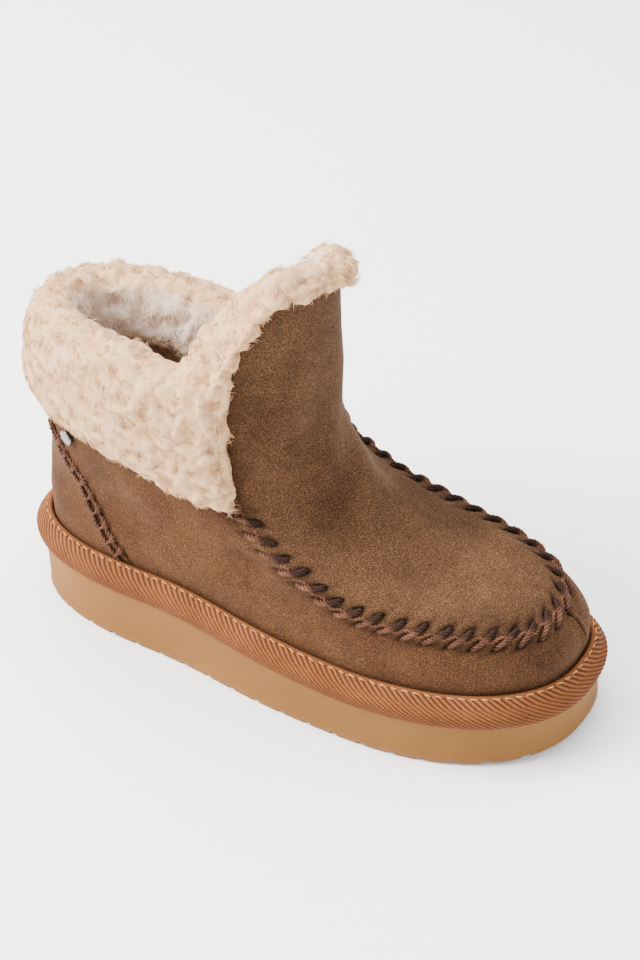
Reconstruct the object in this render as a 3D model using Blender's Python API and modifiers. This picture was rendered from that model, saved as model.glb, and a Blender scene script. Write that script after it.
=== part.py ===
# Ankle boot with a moccasin seam, a turned-down pile cuff and a bound platform sole.
# It is the right shoe, in metres. The toe points to -Y, the outer side to -X, the top to +Z.

import math
from collections import namedtuple

import bmesh
import bpy
import numpy as np

# Driving dimensions of the sole
SOLE_LENGTH = 0.272
BALL_WIDTH = 0.101
HEEL_SOLE_HEIGHT = 0.031
TOE_SOLE_HEIGHT = 0.0245
TOE_SPRING = 0.004
CORE_HEIGHT = 0.003
EDGE_ROUNDING = 0.0012
OUTER_WAIST_PINCH = 0.005
INNER_WAIST_PINCH = 0.009
LUG_PITCH = 0.0136
GROOVE_WIDTH = 0.003
GROOVE_DEPTH = 0.002

# Driving dimensions of the bound edge
TAPE_HEIGHT = 0.014
TAPE_SEAT = 0.006
TAPE_BULGE = 0.0022

# Driving dimensions of the upper
WALL = 0.0024
COLLAR_RISE = 0.121
PEAK_RISE = 0.057
OUTER_COLLAR_LIFT = 0.006
NOTCH_DROP = 0.004
INSOLE_THICKNESS = 0.006
SEAM_HALF_WIDTH = 0.0026
SEAM_HEIGHT = 0.0016
LADDER_HALF_WIDTH = 0.0034
LADDER_HEIGHT = 0.0009
STUD_RADIUS = 0.0038
STUD_DEPTH = 0.0022

# Driving dimensions of the cuff
PILE_DEPTH = 0.0105
TRIM_PILE_DEPTH = 0.0085
TRIM_SHIFT = 0.0035
INNER_PILE_DEPTH = 0.0125
FLAP_DROP = 0.062
TRIM_DROP = 0.0045
INNER_LEG = 0.026
FLAP_LIFT = 0.0016
LOCK_DEPTH = 0.0016
LOCK_LENGTH = 0.0035

# Space kept between pieces that meet
CLEARANCE = 0.0003
EDGE_CLEARANCE = 0.0012
SEAM_CLEARANCE = 0.0006
RIBS = 64
MATERIAL_COLOURS = {
    "suede": ("7e6046", 0.92, 0.0),
    "pile": ("ead9c6", 0.95, 0.0),
    "webbing": ("c08a5f", 0.75, 0.0),
    "foam": ("bd9670", 0.7, 0.0),
    "insole": ("d9c3ab", 0.95, 0.0),
    "thread": ("5d4335", 0.6, 0.0),
    "steel": ("b9b9b6", 0.3, 1.0),
}

# Plan of a closed ring round the foot. Lengths are shares of SOLE_LENGTH from the back of the
# heel, widths and lean are shares of BALL_WIDTH, and powers square off the heel and toe ends.
Plan = namedtuple("Plan", "back front widest outer inner heel_power toe_power lean pinch")
SOLE_PLAN = Plan(0.0, 1.0, 0.64, 0.530, 0.470, 3.2, 2.5, 0.08, 1.0)

# Rings of the upper above the bound edge. Heights are shares of COLLAR_RISE over the sole's
# top, at the heel, the sides and the toe. Peak is a share of PEAK_RISE at the front.
Section = namedtuple("Section", "name plan heel side toe peak")
SECTIONS = (
    Section("wall", Plan(0.016, 0.977, 0.64, 0.470, 0.425, 2.9, 2.5, 0.075, 0.75), 0.21, 0.23, 0.20, 0.0),
    Section("seam", Plan(0.016, 0.927, 0.62, 0.445, 0.380, 2.7, 2.5, 0.06, 0.45), 0.31, 0.35, 0.31, 0.0),
    Section("vamp", Plan(0.021, 0.765, 0.48, 0.430, 0.370, 2.5, 1.9, 0.04, 0.2), 0.45, 0.49, 0.43, 0.0),
    Section("instep", Plan(0.028, 0.608, 0.35, 0.412, 0.362, 2.4, 2.0, 0.02, 0.0), 0.63, 0.67, 0.59, 0.0),
    Section("throat", Plan(0.034, 0.562, 0.33, 0.405, 0.350, 2.3, 2.2, 0.0, 0.0), 0.77, 0.79, 0.76, 0.03),
    Section("shaft", Plan(0.044, 0.557, 0.33, 0.400, 0.335, 2.3, 2.2, 0.0, 0.0), 0.88, 0.89, 0.88, 0.45),
    Section("collar", Plan(0.057, 0.557, 0.33, 0.395, 0.318, 2.3, 2.2, 0.0, 0.0), 1.0, 1.0, 1.0, 1.0),
)
OUTER_PEAK_START = 0.30
INNER_PEAK_START = 0.05
PEAK_FULL = 0.86
NOTCH_ANGLE = 97.0
NOTCH_SPREAD = 15.0

# Rows of the mesh of the upper, as levels between the rings
UPPER_LEVELS = (0.0, 1.0, 1.5, 2.0, 2.5, 3.0, 3.5, 4.0, 4.5, 5.0, 5.5, 6.0, 6.5, 7.0, 7.5, 8.0)

# Routes on the upper: angle in degrees from the heel round the outer side, and level
Route = namedtuple("Route", "angle level")
SEAM_ROUTE = (
    Route(92.0, 4.36), Route(93.0, 4.06), Route(95.0, 3.65), Route(99.0, 3.25),
    Route(108.0, 3.04), Route(125.0, 3.0), Route(150.0, 3.0), Route(180.0, 3.0),
)
LADDER_ROUTE = (
    Route(51.0, 1.35), Route(47.5, 2.0), Route(43.0, 3.0), Route(39.5, 4.0), Route(37.5, 4.6),
)
STUD_PLACE = Route(47.0, 4.6)

# Drop of the cuff's flap, as shares of FLAP_DROP by angle in degrees
Drop = namedtuple("Drop", "angle share")
FLAP_DROPS = (
    Drop(0.0, 0.72), Drop(45.0, 0.74), Drop(72.0, 0.77), Drop(90.0, 0.88), Drop(104.0, 0.99), Drop(115.0, 1.0),
)
FLAP_END = 115.0
INNER_FLAP_END = 99.0
TRIM_STEP = 6.0

# Section of the bound edge: share of TAPE_SEAT inwards, share of TAPE_BULGE outwards, share of
# TAPE_HEIGHT upwards, from the lower inner corner round the outside.
TapePoint = namedtuple("TapePoint", "seat bulge height")
TAPE_SECTION = (
    TapePoint(0.45, 0.0, 0.0), TapePoint(0.0, 0.35, 0.03), TapePoint(0.0, 0.95, 0.22),
    TapePoint(0.0, 0.95, 0.48), TapePoint(0.08, 0.0, 0.76), TapePoint(0.42, 0.0, 0.95),
    TapePoint(0.80, 0.0, 1.0), TapePoint(1.0, 0.0, 0.96), TapePoint(1.0, 0.0, 0.0),
)


def linear_colour(hex_text):
    channels = [int(hex_text[i:i + 2], 16) / 255 for i in (0, 2, 4)]
    return [c / 12.92 if c <= 0.04045 else ((c + 0.055) / 1.055) ** 2.4 for c in channels]


def make_material(name):
    hex_text, roughness, metallic = MATERIAL_COLOURS[name]
    material = bpy.data.materials.new(name)
    material.use_nodes = True
    shader = material.node_tree.nodes["Principled BSDF"]
    shader.inputs["Base Color"].default_value = (*linear_colour(hex_text), 1.0)
    shader.inputs["Roughness"].default_value = roughness
    shader.inputs["Metallic"].default_value = metallic
    material.diffuse_color = (*linear_colour(hex_text), 1.0)
    return material


def smooth_step(value):
    value = np.clip(value, 0.0, 1.0)
    return value * value * (3 - 2 * value)


# The sole's top falls from the heel to the forefoot, and its bottom lifts at the toe
def deck_height(along):
    return HEEL_SOLE_HEIGHT - (HEEL_SOLE_HEIGHT - TOE_SOLE_HEIGHT) * smooth_step((along / SOLE_LENGTH - 0.30) / 0.40)


def bottom_height(along):
    return TOE_SPRING * np.clip((along / SOLE_LENGTH - 0.74) / 0.26, 0.0, 1.0) ** 2


# Plan of one ring: x across the foot and the distance along it from the back of the heel
def plan_ring(plan, angles, inset=0.0):
    fore = np.cos(angles)
    across = np.sin(angles)
    power = np.where(fore > 0, plan.heel_power, plan.toe_power)
    reach = (np.abs(fore) ** power + np.abs(across) ** power) ** (-1 / power)
    widest = plan.widest * SOLE_LENGTH
    back = plan.back * SOLE_LENGTH + inset
    front = plan.front * SOLE_LENGTH - inset
    along = np.where(fore > 0, widest - (widest - back) * fore * reach, widest - (front - widest) * fore * reach)
    outer = plan.outer * BALL_WIDTH - inset
    inner = plan.inner * BALL_WIDTH - inset
    side = np.abs(across) * reach
    x = np.where(across > 0, -outer, inner) * side
    x = x + plan.lean * BALL_WIDTH * np.clip((along - widest) / (front - widest), 0.0, 1.0) ** 2
    share = along / SOLE_LENGTH
    outer_pinch = OUTER_WAIST_PINCH * plan.pinch * np.exp(-((share - 0.33) / 0.15) ** 2)
    inner_pinch = INNER_WAIST_PINCH * plan.pinch * np.exp(-((share - 0.42) / 0.15) ** 2)
    x = x + np.where(across > 0, outer_pinch, -inner_pinch) * side
    return x, along


def to_world(x, along, z):
    return np.column_stack([x, SOLE_LENGTH / 2 - along, z])


# A ring that follows the sole's outline, at a height over the sole's top
def outline_ring(angles, inset, above_deck):
    x, along = plan_ring(SOLE_PLAN, angles, inset)
    return to_world(x, along, deck_height(along) + above_deck)


# Angle from the heel in degrees on either side. The inner side is stretched, so that its flap
# ends further back.
def angle_from_heel(angles):
    outer = np.degrees(angles)
    inner = (360.0 - outer) * FLAP_END / INNER_FLAP_END
    return np.where(outer <= 180.0, outer, inner)


def section_ring(section, angles):
    x, along = plan_ring(section.plan, angles)
    fore = np.cos(angles)
    across = np.sin(angles)
    middle = (section.heel + section.toe) / 2
    share = (section.heel - section.toe) / 2 * fore + (middle - section.side) * fore ** 2 + section.side
    peak_start = np.where(across > 0, OUTER_PEAK_START, INNER_PEAK_START)
    peak = smooth_step((-fore - peak_start) / (PEAK_FULL - peak_start))
    notch = np.exp(-((angle_from_heel(angles) - NOTCH_ANGLE) / NOTCH_SPREAD) ** 2)
    z = deck_height(along) + share * COLLAR_RISE + section.peak * PEAK_RISE * peak
    z = z + section.peak * (OUTER_COLLAR_LIFT * across - NOTCH_DROP * notch)
    return to_world(x, along, z)


# Points on the upper's outer face. A level counts rings from the lower edge, and between two
# rings each rib follows a cubic curve through the ring points.
def upper_points(angles, levels):
    angles = np.asarray(angles) % (2 * math.pi)
    rings = [outline_ring(angles, TAPE_SEAT, CORE_HEIGHT + CLEARANCE)]
    rings.append(outline_ring(angles, TAPE_SEAT, TAPE_HEIGHT + CLEARANCE))
    rings = np.array(rings + [section_ring(section, angles) for section in SECTIONS])
    steps = np.diff(rings, axis=0)
    gaps = np.linalg.norm(steps, axis=2)[:, :, None]
    slopes = steps / gaps
    inner_tangents = (slopes[:-1] * gaps[1:] + slopes[1:] * gaps[:-1]) / (gaps[1:] + gaps[:-1])
    tangents = np.concatenate([slopes[:1], inner_tangents, slopes[-1:]])
    levels = np.broadcast_to(levels, angles.shape)
    low = np.clip(np.floor(levels).astype(int), 0, len(rings) - 2)
    t = (levels - low)[:, None]
    rib = np.arange(len(angles))
    gap = gaps[low, rib]
    start, end = rings[low, rib], rings[low + 1, rib]
    leave, arrive = tangents[low, rib] * gap, tangents[low + 1, rib] * gap
    blend = t * t * (3 - 2 * t)
    return start * (1 - blend) + end * blend + leave * t * (1 - t) ** 2 - arrive * t * t * (1 - t)


def upper_frame(angles, levels):
    small = 1e-3
    top = len(SECTIONS) + 1.0
    levels = np.broadcast_to(levels, np.shape(angles))
    round_foot = upper_points(angles + small, levels) - upper_points(angles - small, levels)
    up_rib = upper_points(angles, np.minimum(levels + small, top)) - upper_points(angles, levels - small)
    normals = np.cross(round_foot, up_rib)
    normals /= np.linalg.norm(normals, axis=1)[:, None]
    up_rib /= np.linalg.norm(up_rib, axis=1)[:, None]
    return normals, up_rib


# Level on each rib at a distance below the collar's edge, measured along the upper
def level_below_collar(angles, distances):
    top = len(SECTIONS) + 1.0
    samples = np.linspace(2.0, top, 121)
    stack = np.array([upper_points(angles, level) for level in samples])
    lengths = np.linalg.norm(np.diff(stack, axis=0), axis=2)
    below = np.concatenate([np.cumsum(lengths[::-1], axis=0)[::-1], np.zeros((1, len(angles)))])
    return np.array([np.interp(-d, -below[:, i], samples) for i, d in enumerate(distances)])


def rib_angles(count):
    return np.arange(count) * 2 * math.pi / count


def add_object(name, mesh, material_name):
    mesh.name = name
    mesh.materials.append(make_material(material_name))
    piece = bpy.data.objects.new(name, mesh)
    parts.objects.link(piece)
    piece.parent = origin
    mesh.shade_smooth()
    mesh.set_sharp_from_angle(angle=math.radians(50))
    return piece


# A skin through rings of equal count. It is closed into a tube of sections when the last ring
# joins the first, and by strips across the foot where it has a floor or a lid.
def loft(rings, joined=False, floor=False, lid=False):
    count = len(rings[0])
    vertices = np.concatenate(rings)
    faces = []
    pairs = len(rings) if joined else len(rings) - 1
    for i in range(pairs):
        below = i * count
        above = ((i + 1) % len(rings)) * count
        for j in range(count):
            k = (j + 1) % count
            faces.append((below + j, below + k, above + k, above + j))
    caps = [0] if floor else []
    caps += [(len(rings) - 1) * count] if lid else []
    for base in caps:
        faces.append((base, base + 1, base + count - 1))
        for j in range(1, count // 2 - 1):
            faces.append((base + j, base + j + 1, base + count - j - 1, base + count - j))
        middle = count // 2
        faces.append((base + middle - 1, base + middle, base + middle + 1))
    mesh = bpy.data.meshes.new("loft")
    mesh.from_pydata([tuple(v) for v in vertices], [], faces)
    return mesh


def point_faces_out(mesh):
    shape = bmesh.new()
    shape.from_mesh(mesh)
    bmesh.ops.recalc_face_normals(shape, faces=shape.faces)
    shape.to_mesh(mesh)
    shape.free()


def bottom_ring(angles, inset, lift):
    x, along = plan_ring(SOLE_PLAN, angles, inset)
    return to_world(x, along, bottom_height(along) + lift)


# Cross grooves in the tread, cut right through to the sole's side
def make_grooves():
    shape = bmesh.new()
    count = int((SOLE_LENGTH - LUG_PITCH) // LUG_PITCH)
    first = (SOLE_LENGTH - (count - 1) * LUG_PITCH) / 2
    for i in range(count):
        along = first + i * LUG_PITCH
        box = bmesh.ops.create_cube(shape, size=1.0)
        bmesh.ops.scale(shape, verts=box["verts"], vec=(BALL_WIDTH * 1.5, GROOVE_WIDTH, GROOVE_DEPTH * 2))
        place = (0.0, SOLE_LENGTH / 2 - along, float(bottom_height(along)))
        bmesh.ops.translate(shape, verts=box["verts"], vec=place)
    mesh = bpy.data.meshes.new("grooves")
    shape.to_mesh(mesh)
    shape.free()
    cutter = bpy.data.objects.new("tread_grooves", mesh)
    cutter.hide_render = True
    cutter.display_type = "WIRE"
    cutters.objects.link(cutter)
    cutter.parent = origin
    return cutter


def make_outsole():
    angles = rib_angles(RIBS)
    rings = [
        bottom_ring(angles, EDGE_ROUNDING, 0.0),
        bottom_ring(angles, 0.0, EDGE_ROUNDING),
        outline_ring(angles, 0.0, 0.0),
        outline_ring(angles, TAPE_SEAT, 0.0),
        outline_ring(angles, TAPE_SEAT, CORE_HEIGHT),
    ]
    mesh = loft(rings, floor=True, lid=True)
    point_faces_out(mesh)
    outsole = add_object("outsole", mesh, "foam")
    cut = outsole.modifiers.new("tread", "BOOLEAN")
    cut.operation = "DIFFERENCE"
    cut.solver = "EXACT"
    cut.object = make_grooves()
    return outsole


def make_rand_tape():
    angles = rib_angles(RIBS)
    seat = TAPE_SEAT - CLEARANCE
    rings = []
    for point in TAPE_SECTION:
        inset = point.seat * seat - point.bulge * TAPE_BULGE
        rings.append(outline_ring(angles, inset, CLEARANCE + point.height * (TAPE_HEIGHT - CLEARANCE)))
    mesh = loft(rings, joined=True)
    point_faces_out(mesh)
    return add_object("rand_tape", mesh, "webbing")


def make_insole():
    angles = rib_angles(RIBS)
    inset = TAPE_SEAT + WALL + 2 * CLEARANCE
    base = CORE_HEIGHT + CLEARANCE
    rounding = INSOLE_THICKNESS / 4
    rings = [
        outline_ring(angles, inset, base),
        outline_ring(angles, inset, base + INSOLE_THICKNESS - rounding),
        outline_ring(angles, inset + rounding, base + INSOLE_THICKNESS),
    ]
    mesh = loft(rings, floor=True, lid=True)
    point_faces_out(mesh)
    return add_object("insole", mesh, "insole")


# The upper is an open skin through its rings, given its wall inwards by Solidify
def make_upper():
    angles = rib_angles(RIBS)
    mesh = loft([upper_points(angles, level) for level in UPPER_LEVELS])
    upper = add_object("upper", mesh, "suede")
    wall = upper.modifiers.new("wall", "SOLIDIFY")
    wall.thickness = WALL
    wall.offset = -1.0
    wall.use_even_offset = True
    return upper


# Smooth curve through the route's rows, as equally many angles and levels
def route_points(route, per_row):
    rows = np.array(route)
    padded = np.concatenate([2 * rows[:1] - rows[1:2], rows, 2 * rows[-1:] - rows[-2:-1]])
    points = []
    for i in range(len(rows) - 1):
        a, b, c, d = padded[i:i + 4]
        for t in np.arange(per_row) / per_row:
            points.append(b + 0.5 * t * (c - a + t * (2 * a - 5 * b + 4 * c - d + t * (3 * (b - c) + d - a))))
    points.append(rows[-1])
    points = np.array(points)
    return np.radians(points[:, 0]), points[:, 1]


# A raised strip that lies on the upper along a route, with a low rounded section
def strip_on_upper(name, angles, levels, half_width, height, material_name):
    section = ((-1.0, 0.0), (-0.8, 0.7), (-0.3, 1.0), (0.3, 1.0), (0.8, 0.7), (1.0, 0.0))
    centre = upper_points(angles, levels)
    normals, _ = upper_frame(angles, levels)
    forward = np.gradient(centre, axis=0)
    forward /= np.linalg.norm(forward, axis=1)[:, None]
    sideways = np.cross(normals, forward)
    vertices = []
    for i in range(len(centre)):
        for across, rise in section:
            lift = SEAM_CLEARANCE + rise * height
            vertices.append(centre[i] + sideways[i] * across * half_width + normals[i] * lift)
    size = len(section)
    faces = [tuple(range(size)), tuple(range(len(vertices) - size, len(vertices)))]
    for i in range(len(centre) - 1):
        for j in range(size):
            k = (j + 1) % size
            faces.append((i * size + j, i * size + k, (i + 1) * size + k, (i + 1) * size + j))
    mesh = bpy.data.meshes.new(name)
    mesh.from_pydata([tuple(v) for v in vertices], [], faces)
    point_faces_out(mesh)
    return add_object(name, mesh, material_name)


def make_apron_seam():
    angles, levels = route_points(SEAM_ROUTE, 4)
    both_angles = np.concatenate([angles, 2 * math.pi - angles[-2::-1]])
    both_levels = np.concatenate([levels, levels[-2::-1]])
    return strip_on_upper("apron_seam", both_angles, both_levels, SEAM_HALF_WIDTH, SEAM_HEIGHT, "thread")


def make_ladder_seams():
    angles, levels = route_points(LADDER_ROUTE, 3)
    strip_on_upper("ladder_seam_outer", angles, levels, LADDER_HALF_WIDTH, LADDER_HEIGHT, "thread")
    strip_on_upper("ladder_seam_inner", 2 * math.pi - angles, levels, LADDER_HALF_WIDTH, LADDER_HEIGHT, "thread")


def make_stud():
    angle = np.array([math.radians(STUD_PLACE.angle)])
    level = np.array([STUD_PLACE.level])
    normals, _ = upper_frame(angle, level)
    centre = upper_points(angle, level) + normals * (CLEARANCE + STUD_DEPTH / 2)
    bpy.ops.mesh.primitive_cylinder_add(radius=STUD_RADIUS, depth=STUD_DEPTH, vertices=20)
    made = bpy.context.object
    mesh = made.data
    bpy.data.objects.remove(made)
    stud = add_object("cuff_stud", mesh, "steel")
    nx, ny, nz = normals[0]
    stud.rotation_euler = (0.0, math.acos(nz), math.atan2(ny, nx))
    stud.location = centre[0]
    edge = stud.modifiers.new("edge", "BEVEL")
    edge.width = STUD_DEPTH / 3
    edge.segments = 2
    edge.limit_method = "ANGLE"
    return stud


# Nought where the cuff is a flap, and one where it is the front's narrow trim
def trim_share(angles):
    return smooth_step((angle_from_heel(angles) - FLAP_END) / TRIM_STEP)


# Length of the cuff's outer leg on each rib: the long flap, or the narrow trim at the front
def flap_lengths(angles):
    from_heel = angle_from_heel(angles)
    shares = np.interp(from_heel, [row.angle for row in FLAP_DROPS], [row.share for row in FLAP_DROPS])
    trim = trim_share(angles)
    return shares * FLAP_DROP * (1 - trim) + TRIM_DROP * trim


# One point of the cuff's section on every rib: a distance below the collar's edge, negative
# above it, and an offset outwards from the upper's outer face
def cuff_ring(angles, distances, offsets):
    levels = level_below_collar(angles, np.maximum(distances, 0.0))
    normals, up_rib = upper_frame(angles, levels)
    points = upper_points(angles, levels)
    over_edge = np.maximum(-distances, 0.0)
    return points + normals * offsets[:, None] + up_rib * over_edge[:, None]


# Angles of the cuff's ribs, closer together where the flap ends
def cuff_angles():
    halves = []
    for end in (FLAP_END, INNER_FLAP_END):
        flap = np.linspace(0.0, end, 23)
        ending = np.linspace(end, end + TRIM_STEP, 4)[1:]
        front = np.linspace(end + TRIM_STEP, 180.0, 12)[1:]
        halves.append(np.concatenate([flap, ending, front]))
    outer, inner = halves
    return np.radians(np.concatenate([outer, 360.0 - inner[-2:0:-1]]))


# The cuff wraps the collar's edge. Its pile has locks, pushed out or in rib by rib.
def make_fur_cuff():
    angles = cuff_angles()
    count = len(angles)
    rng = np.random.default_rng(7)
    legs = flap_lengths(angles)
    ragged = np.where(legs > 2 * TRIM_DROP, LOCK_LENGTH, LOCK_LENGTH / 3)
    legs = legs + ragged * rng.uniform(-1.0, 0.6, count)
    flat = np.ones(count)
    gap = CLEARANCE * 1.3
    inside = -(WALL + EDGE_CLEARANCE)
    trim = trim_share(angles)
    middle = -WALL / 2 - TRIM_SHIFT * trim
    pile = PILE_DEPTH * (1 - trim) + TRIM_PILE_DEPTH * trim
    over = gap + pile - TRIM_SHIFT * trim
    rings = []
    # The underside runs from the flap's edge up to the collar and down the inside
    for share in (0.93, 0.7, 0.45, 0.2):
        lift = gap + FLAP_LIFT * np.clip(legs * share / FLAP_DROP * 2.0, 0.0, 1.0)
        rings.append(cuff_ring(angles, legs * share, lift))
    rings.append(cuff_ring(angles, flat * -EDGE_CLEARANCE, flat * gap))
    rings.append(cuff_ring(angles, flat * -EDGE_CLEARANCE, flat * inside))
    rings.append(cuff_ring(angles, flat * INNER_LEG / 2, flat * inside))
    rings.append(cuff_ring(angles, flat * INNER_LEG, flat * inside))
    # The pile side runs back: inside, over the top and down the outside
    for share, depth in ((1.05, 0.45), (0.75, 0.9), (0.35, 0.85)):
        locks = LOCK_DEPTH * rng.uniform(-1.0, 1.0, count)
        rings.append(cuff_ring(angles, flat * INNER_LEG * share, inside - INNER_PILE_DEPTH * depth - locks))
    for turn in (150, 115, 80, 45, 15):
        radius = pile * 1.02 + LOCK_DEPTH * rng.uniform(-1.0, 1.0, count)
        up = -gap - radius * math.sin(math.radians(turn))
        rings.append(cuff_ring(angles, up, middle + radius * 1.06 * math.cos(math.radians(turn))))
    for share, depth in ((0.2, 1.0), (0.42, 1.05), (0.64, 1.02), (0.86, 0.9), (1.0, 0.5)):
        locks = LOCK_DEPTH * rng.uniform(-1.0, 1.0, count)
        locks = np.where(legs > 2 * TRIM_DROP, locks, locks / 3)
        rings.append(cuff_ring(angles, legs * share, over * depth + locks + FLAP_LIFT))
    mesh = loft(rings, joined=True)
    point_faces_out(mesh)
    return add_object("fur_cuff", mesh, "pile")


# The finished boot is moved so that its box stands centred on the origin
def centre_on_origin():
    bpy.context.view_layer.update()
    depsgraph = bpy.context.evaluated_depsgraph_get()
    corners = []
    for piece in parts.objects:
        if piece.type == "MESH":
            shape = piece.evaluated_get(depsgraph)
            corners += [shape.matrix_world @ vertex.co for vertex in shape.data.vertices]
    for axis in (0, 1):
        values = [corner[axis] for corner in corners]
        origin.location[axis] = -(min(values) + max(values)) / 2


for old in list(bpy.data.objects):
    bpy.data.objects.remove(old)
parts = bpy.data.collections.new("ankle_boot")
cutters = bpy.data.collections.new("cutters")
bpy.context.scene.collection.children.link(parts)
bpy.context.scene.collection.children.link(cutters)
origin = bpy.data.objects.new("boot_origin", None)
parts.objects.link(origin)

make_outsole()
make_rand_tape()
make_insole()
make_upper()
make_apron_seam()
make_ladder_seams()
make_stud()
make_fur_cuff()
centre_on_origin()
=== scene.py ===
# Ankle boot in suede with a turned-down pile cuff, a hand-stitched apron and a bound foam sole.
# Lengths are in metres. The toe points to -Y, the outer side to -X and the top to +Z.

import math
from collections import namedtuple

import bpy
import numpy as np
from mathutils import Matrix, Vector, noise


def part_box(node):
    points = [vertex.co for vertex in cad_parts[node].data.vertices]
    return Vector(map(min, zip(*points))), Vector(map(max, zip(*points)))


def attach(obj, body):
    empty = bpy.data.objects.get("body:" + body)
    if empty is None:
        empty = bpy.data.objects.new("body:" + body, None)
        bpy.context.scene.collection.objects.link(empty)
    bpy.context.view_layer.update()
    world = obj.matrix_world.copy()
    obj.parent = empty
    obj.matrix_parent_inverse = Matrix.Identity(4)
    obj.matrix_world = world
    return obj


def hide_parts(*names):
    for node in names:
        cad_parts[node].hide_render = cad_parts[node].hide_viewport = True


# Vector noise takes its offsets from this seed, so that each run gives the same pile
noise.seed_set(7)

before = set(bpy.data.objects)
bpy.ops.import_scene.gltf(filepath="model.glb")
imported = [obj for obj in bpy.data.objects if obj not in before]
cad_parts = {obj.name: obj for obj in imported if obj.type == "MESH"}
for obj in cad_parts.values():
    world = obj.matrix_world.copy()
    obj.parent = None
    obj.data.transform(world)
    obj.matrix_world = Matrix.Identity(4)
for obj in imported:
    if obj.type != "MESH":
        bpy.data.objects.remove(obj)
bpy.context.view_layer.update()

# Main sizes of the boot, the same as the frame's solids, but for innerEase, which lowers the collar on
# the inner side of the peak
boot = {
    "soleLength": 0.272,
    "ballWidth": 0.101,
    "heelSoleHeight": 0.031,
    "toeSoleHeight": 0.0245,
    "toeSpring": 0.004,
    "coreHeight": 0.003,
    "outerPinch": 0.005,
    "innerPinch": 0.009,
    "tapeHeight": 0.014,
    "tapeSeat": 0.006,
    "wall": 0.0024,
    "clearance": 0.0003,
    "collarRise": 0.121,
    "peakRise": 0.057,
    "outerCollarLift": 0.006,
    "notchDrop": 0.004,
    "notchAngle": 97.0,
    "notchSpread": 15.0,
    "outerPeakStart": 0.30,
    "innerPeakStart": 0.05,
    "peakFull": 0.86,
    "insoleThickness": 0.006,
    "innerEase": 0.0035,
}

# Plan of a closed ring: shares of the sole's length and of the ball's width
planOf = namedtuple("planOf", "back front widest outer inner heelPower toePower lean pinch")
solePlan = planOf(0.0, 1.0, 0.64, 0.530, 0.470, 3.2, 2.5, 0.08, 1.0)

# Rings of the upper: plan, then heights at the heel, the sides and the toe as shares of the rise
sectionOf = namedtuple("sectionOf", "plan heel side toe peak")
sections = (
    sectionOf(planOf(0.016, 0.977, 0.64, 0.470, 0.425, 2.9, 2.5, 0.075, 0.75), 0.21, 0.23, 0.20, 0.0),
    sectionOf(planOf(0.016, 0.927, 0.62, 0.445, 0.380, 2.7, 2.5, 0.06, 0.45), 0.31, 0.35, 0.31, 0.0),
    sectionOf(planOf(0.021, 0.765, 0.48, 0.430, 0.370, 2.5, 1.9, 0.04, 0.2), 0.45, 0.49, 0.43, 0.0),
    sectionOf(planOf(0.028, 0.608, 0.35, 0.412, 0.362, 2.4, 2.0, 0.02, 0.0), 0.63, 0.67, 0.59, 0.0),
    sectionOf(planOf(0.034, 0.562, 0.33, 0.405, 0.350, 2.3, 2.2, 0.0, 0.0), 0.77, 0.79, 0.76, 0.03),
    sectionOf(planOf(0.044, 0.557, 0.33, 0.400, 0.335, 2.3, 2.2, 0.0, 0.0), 0.88, 0.89, 0.88, 0.45),
    sectionOf(planOf(0.057, 0.557, 0.33, 0.395, 0.318, 2.3, 2.2, 0.0, 0.0), 1.0, 1.0, 1.0, 1.0),
)
topLevel = len(sections) + 1.0


def smoothStep(value):
    value = np.clip(value, 0.0, 1.0)
    return value * value * (3 - 2 * value)


def bell(value, spread):
    return np.exp(-(value / spread) ** 2)


def hump(value, middle, spread):
    return bell(value - middle, spread)


def unit(vectors):
    return vectors / np.linalg.norm(vectors, axis=-1, keepdims=True)


def deckHeight(along):
    fall = boot["heelSoleHeight"] - boot["toeSoleHeight"]
    return boot["heelSoleHeight"] - fall * smoothStep((along / boot["soleLength"] - 0.30) / 0.40)


def bottomHeight(along):
    return boot["toeSpring"] * np.clip((along / boot["soleLength"] - 0.74) / 0.26, 0.0, 1.0) ** 2


# Length along a path from its start to each of its points
def runLengths(path):
    return np.concatenate([[0.0], np.cumsum(np.linalg.norm(np.diff(path, axis=0), axis=1))])


# Angles run from the back of the heel round the outer side to the toe
def planRing(plan, angles, inset=0.0):
    fore = np.cos(angles)
    across = np.sin(angles)
    power = np.where(fore > 0, plan.heelPower, plan.toePower)
    reach = (np.abs(fore) ** power + np.abs(across) ** power) ** (-1 / power)
    widest = plan.widest * boot["soleLength"]
    back = plan.back * boot["soleLength"] + inset
    front = plan.front * boot["soleLength"] - inset
    length = np.where(fore > 0, widest - back, front - widest)
    along = widest - length * fore * reach
    outer = plan.outer * boot["ballWidth"] - inset
    inner = plan.inner * boot["ballWidth"] - inset
    side = np.abs(across) * reach
    x = np.where(across > 0, -outer, inner) * side
    x = x + plan.lean * boot["ballWidth"] * np.clip((along - widest) / (front - widest), 0.0, 1.0) ** 2
    share = along / boot["soleLength"]
    outerPinch = boot["outerPinch"] * plan.pinch * bell(share - 0.33, 0.15)
    innerPinch = boot["innerPinch"] * plan.pinch * bell(share - 0.42, 0.15)
    return x + np.where(across > 0, outerPinch, -innerPinch) * side, along


# The frame's boot stands centred on the origin, so every ring is moved with its outsole
soleLow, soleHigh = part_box("outsole")
ownX, _ = planRing(solePlan, np.linspace(0.0, 2 * math.pi, 721))
shift = np.array([soleLow[0] - ownX.min(), (soleLow[1] + soleHigh[1]) / 2, 0.0])


def toWorld(x, along, z):
    return np.stack([x, boot["soleLength"] / 2 - along, z], axis=-1) + shift


def outlineRing(angles, inset, aboveDeck):
    x, along = planRing(solePlan, angles, inset)
    return toWorld(x, along, deckHeight(along) + aboveDeck)


# Where the cuff's long flap ends on each side, in degrees from the back of the heel
flapEnds = {"outer": 115.0, "inner": 99.0}


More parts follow.
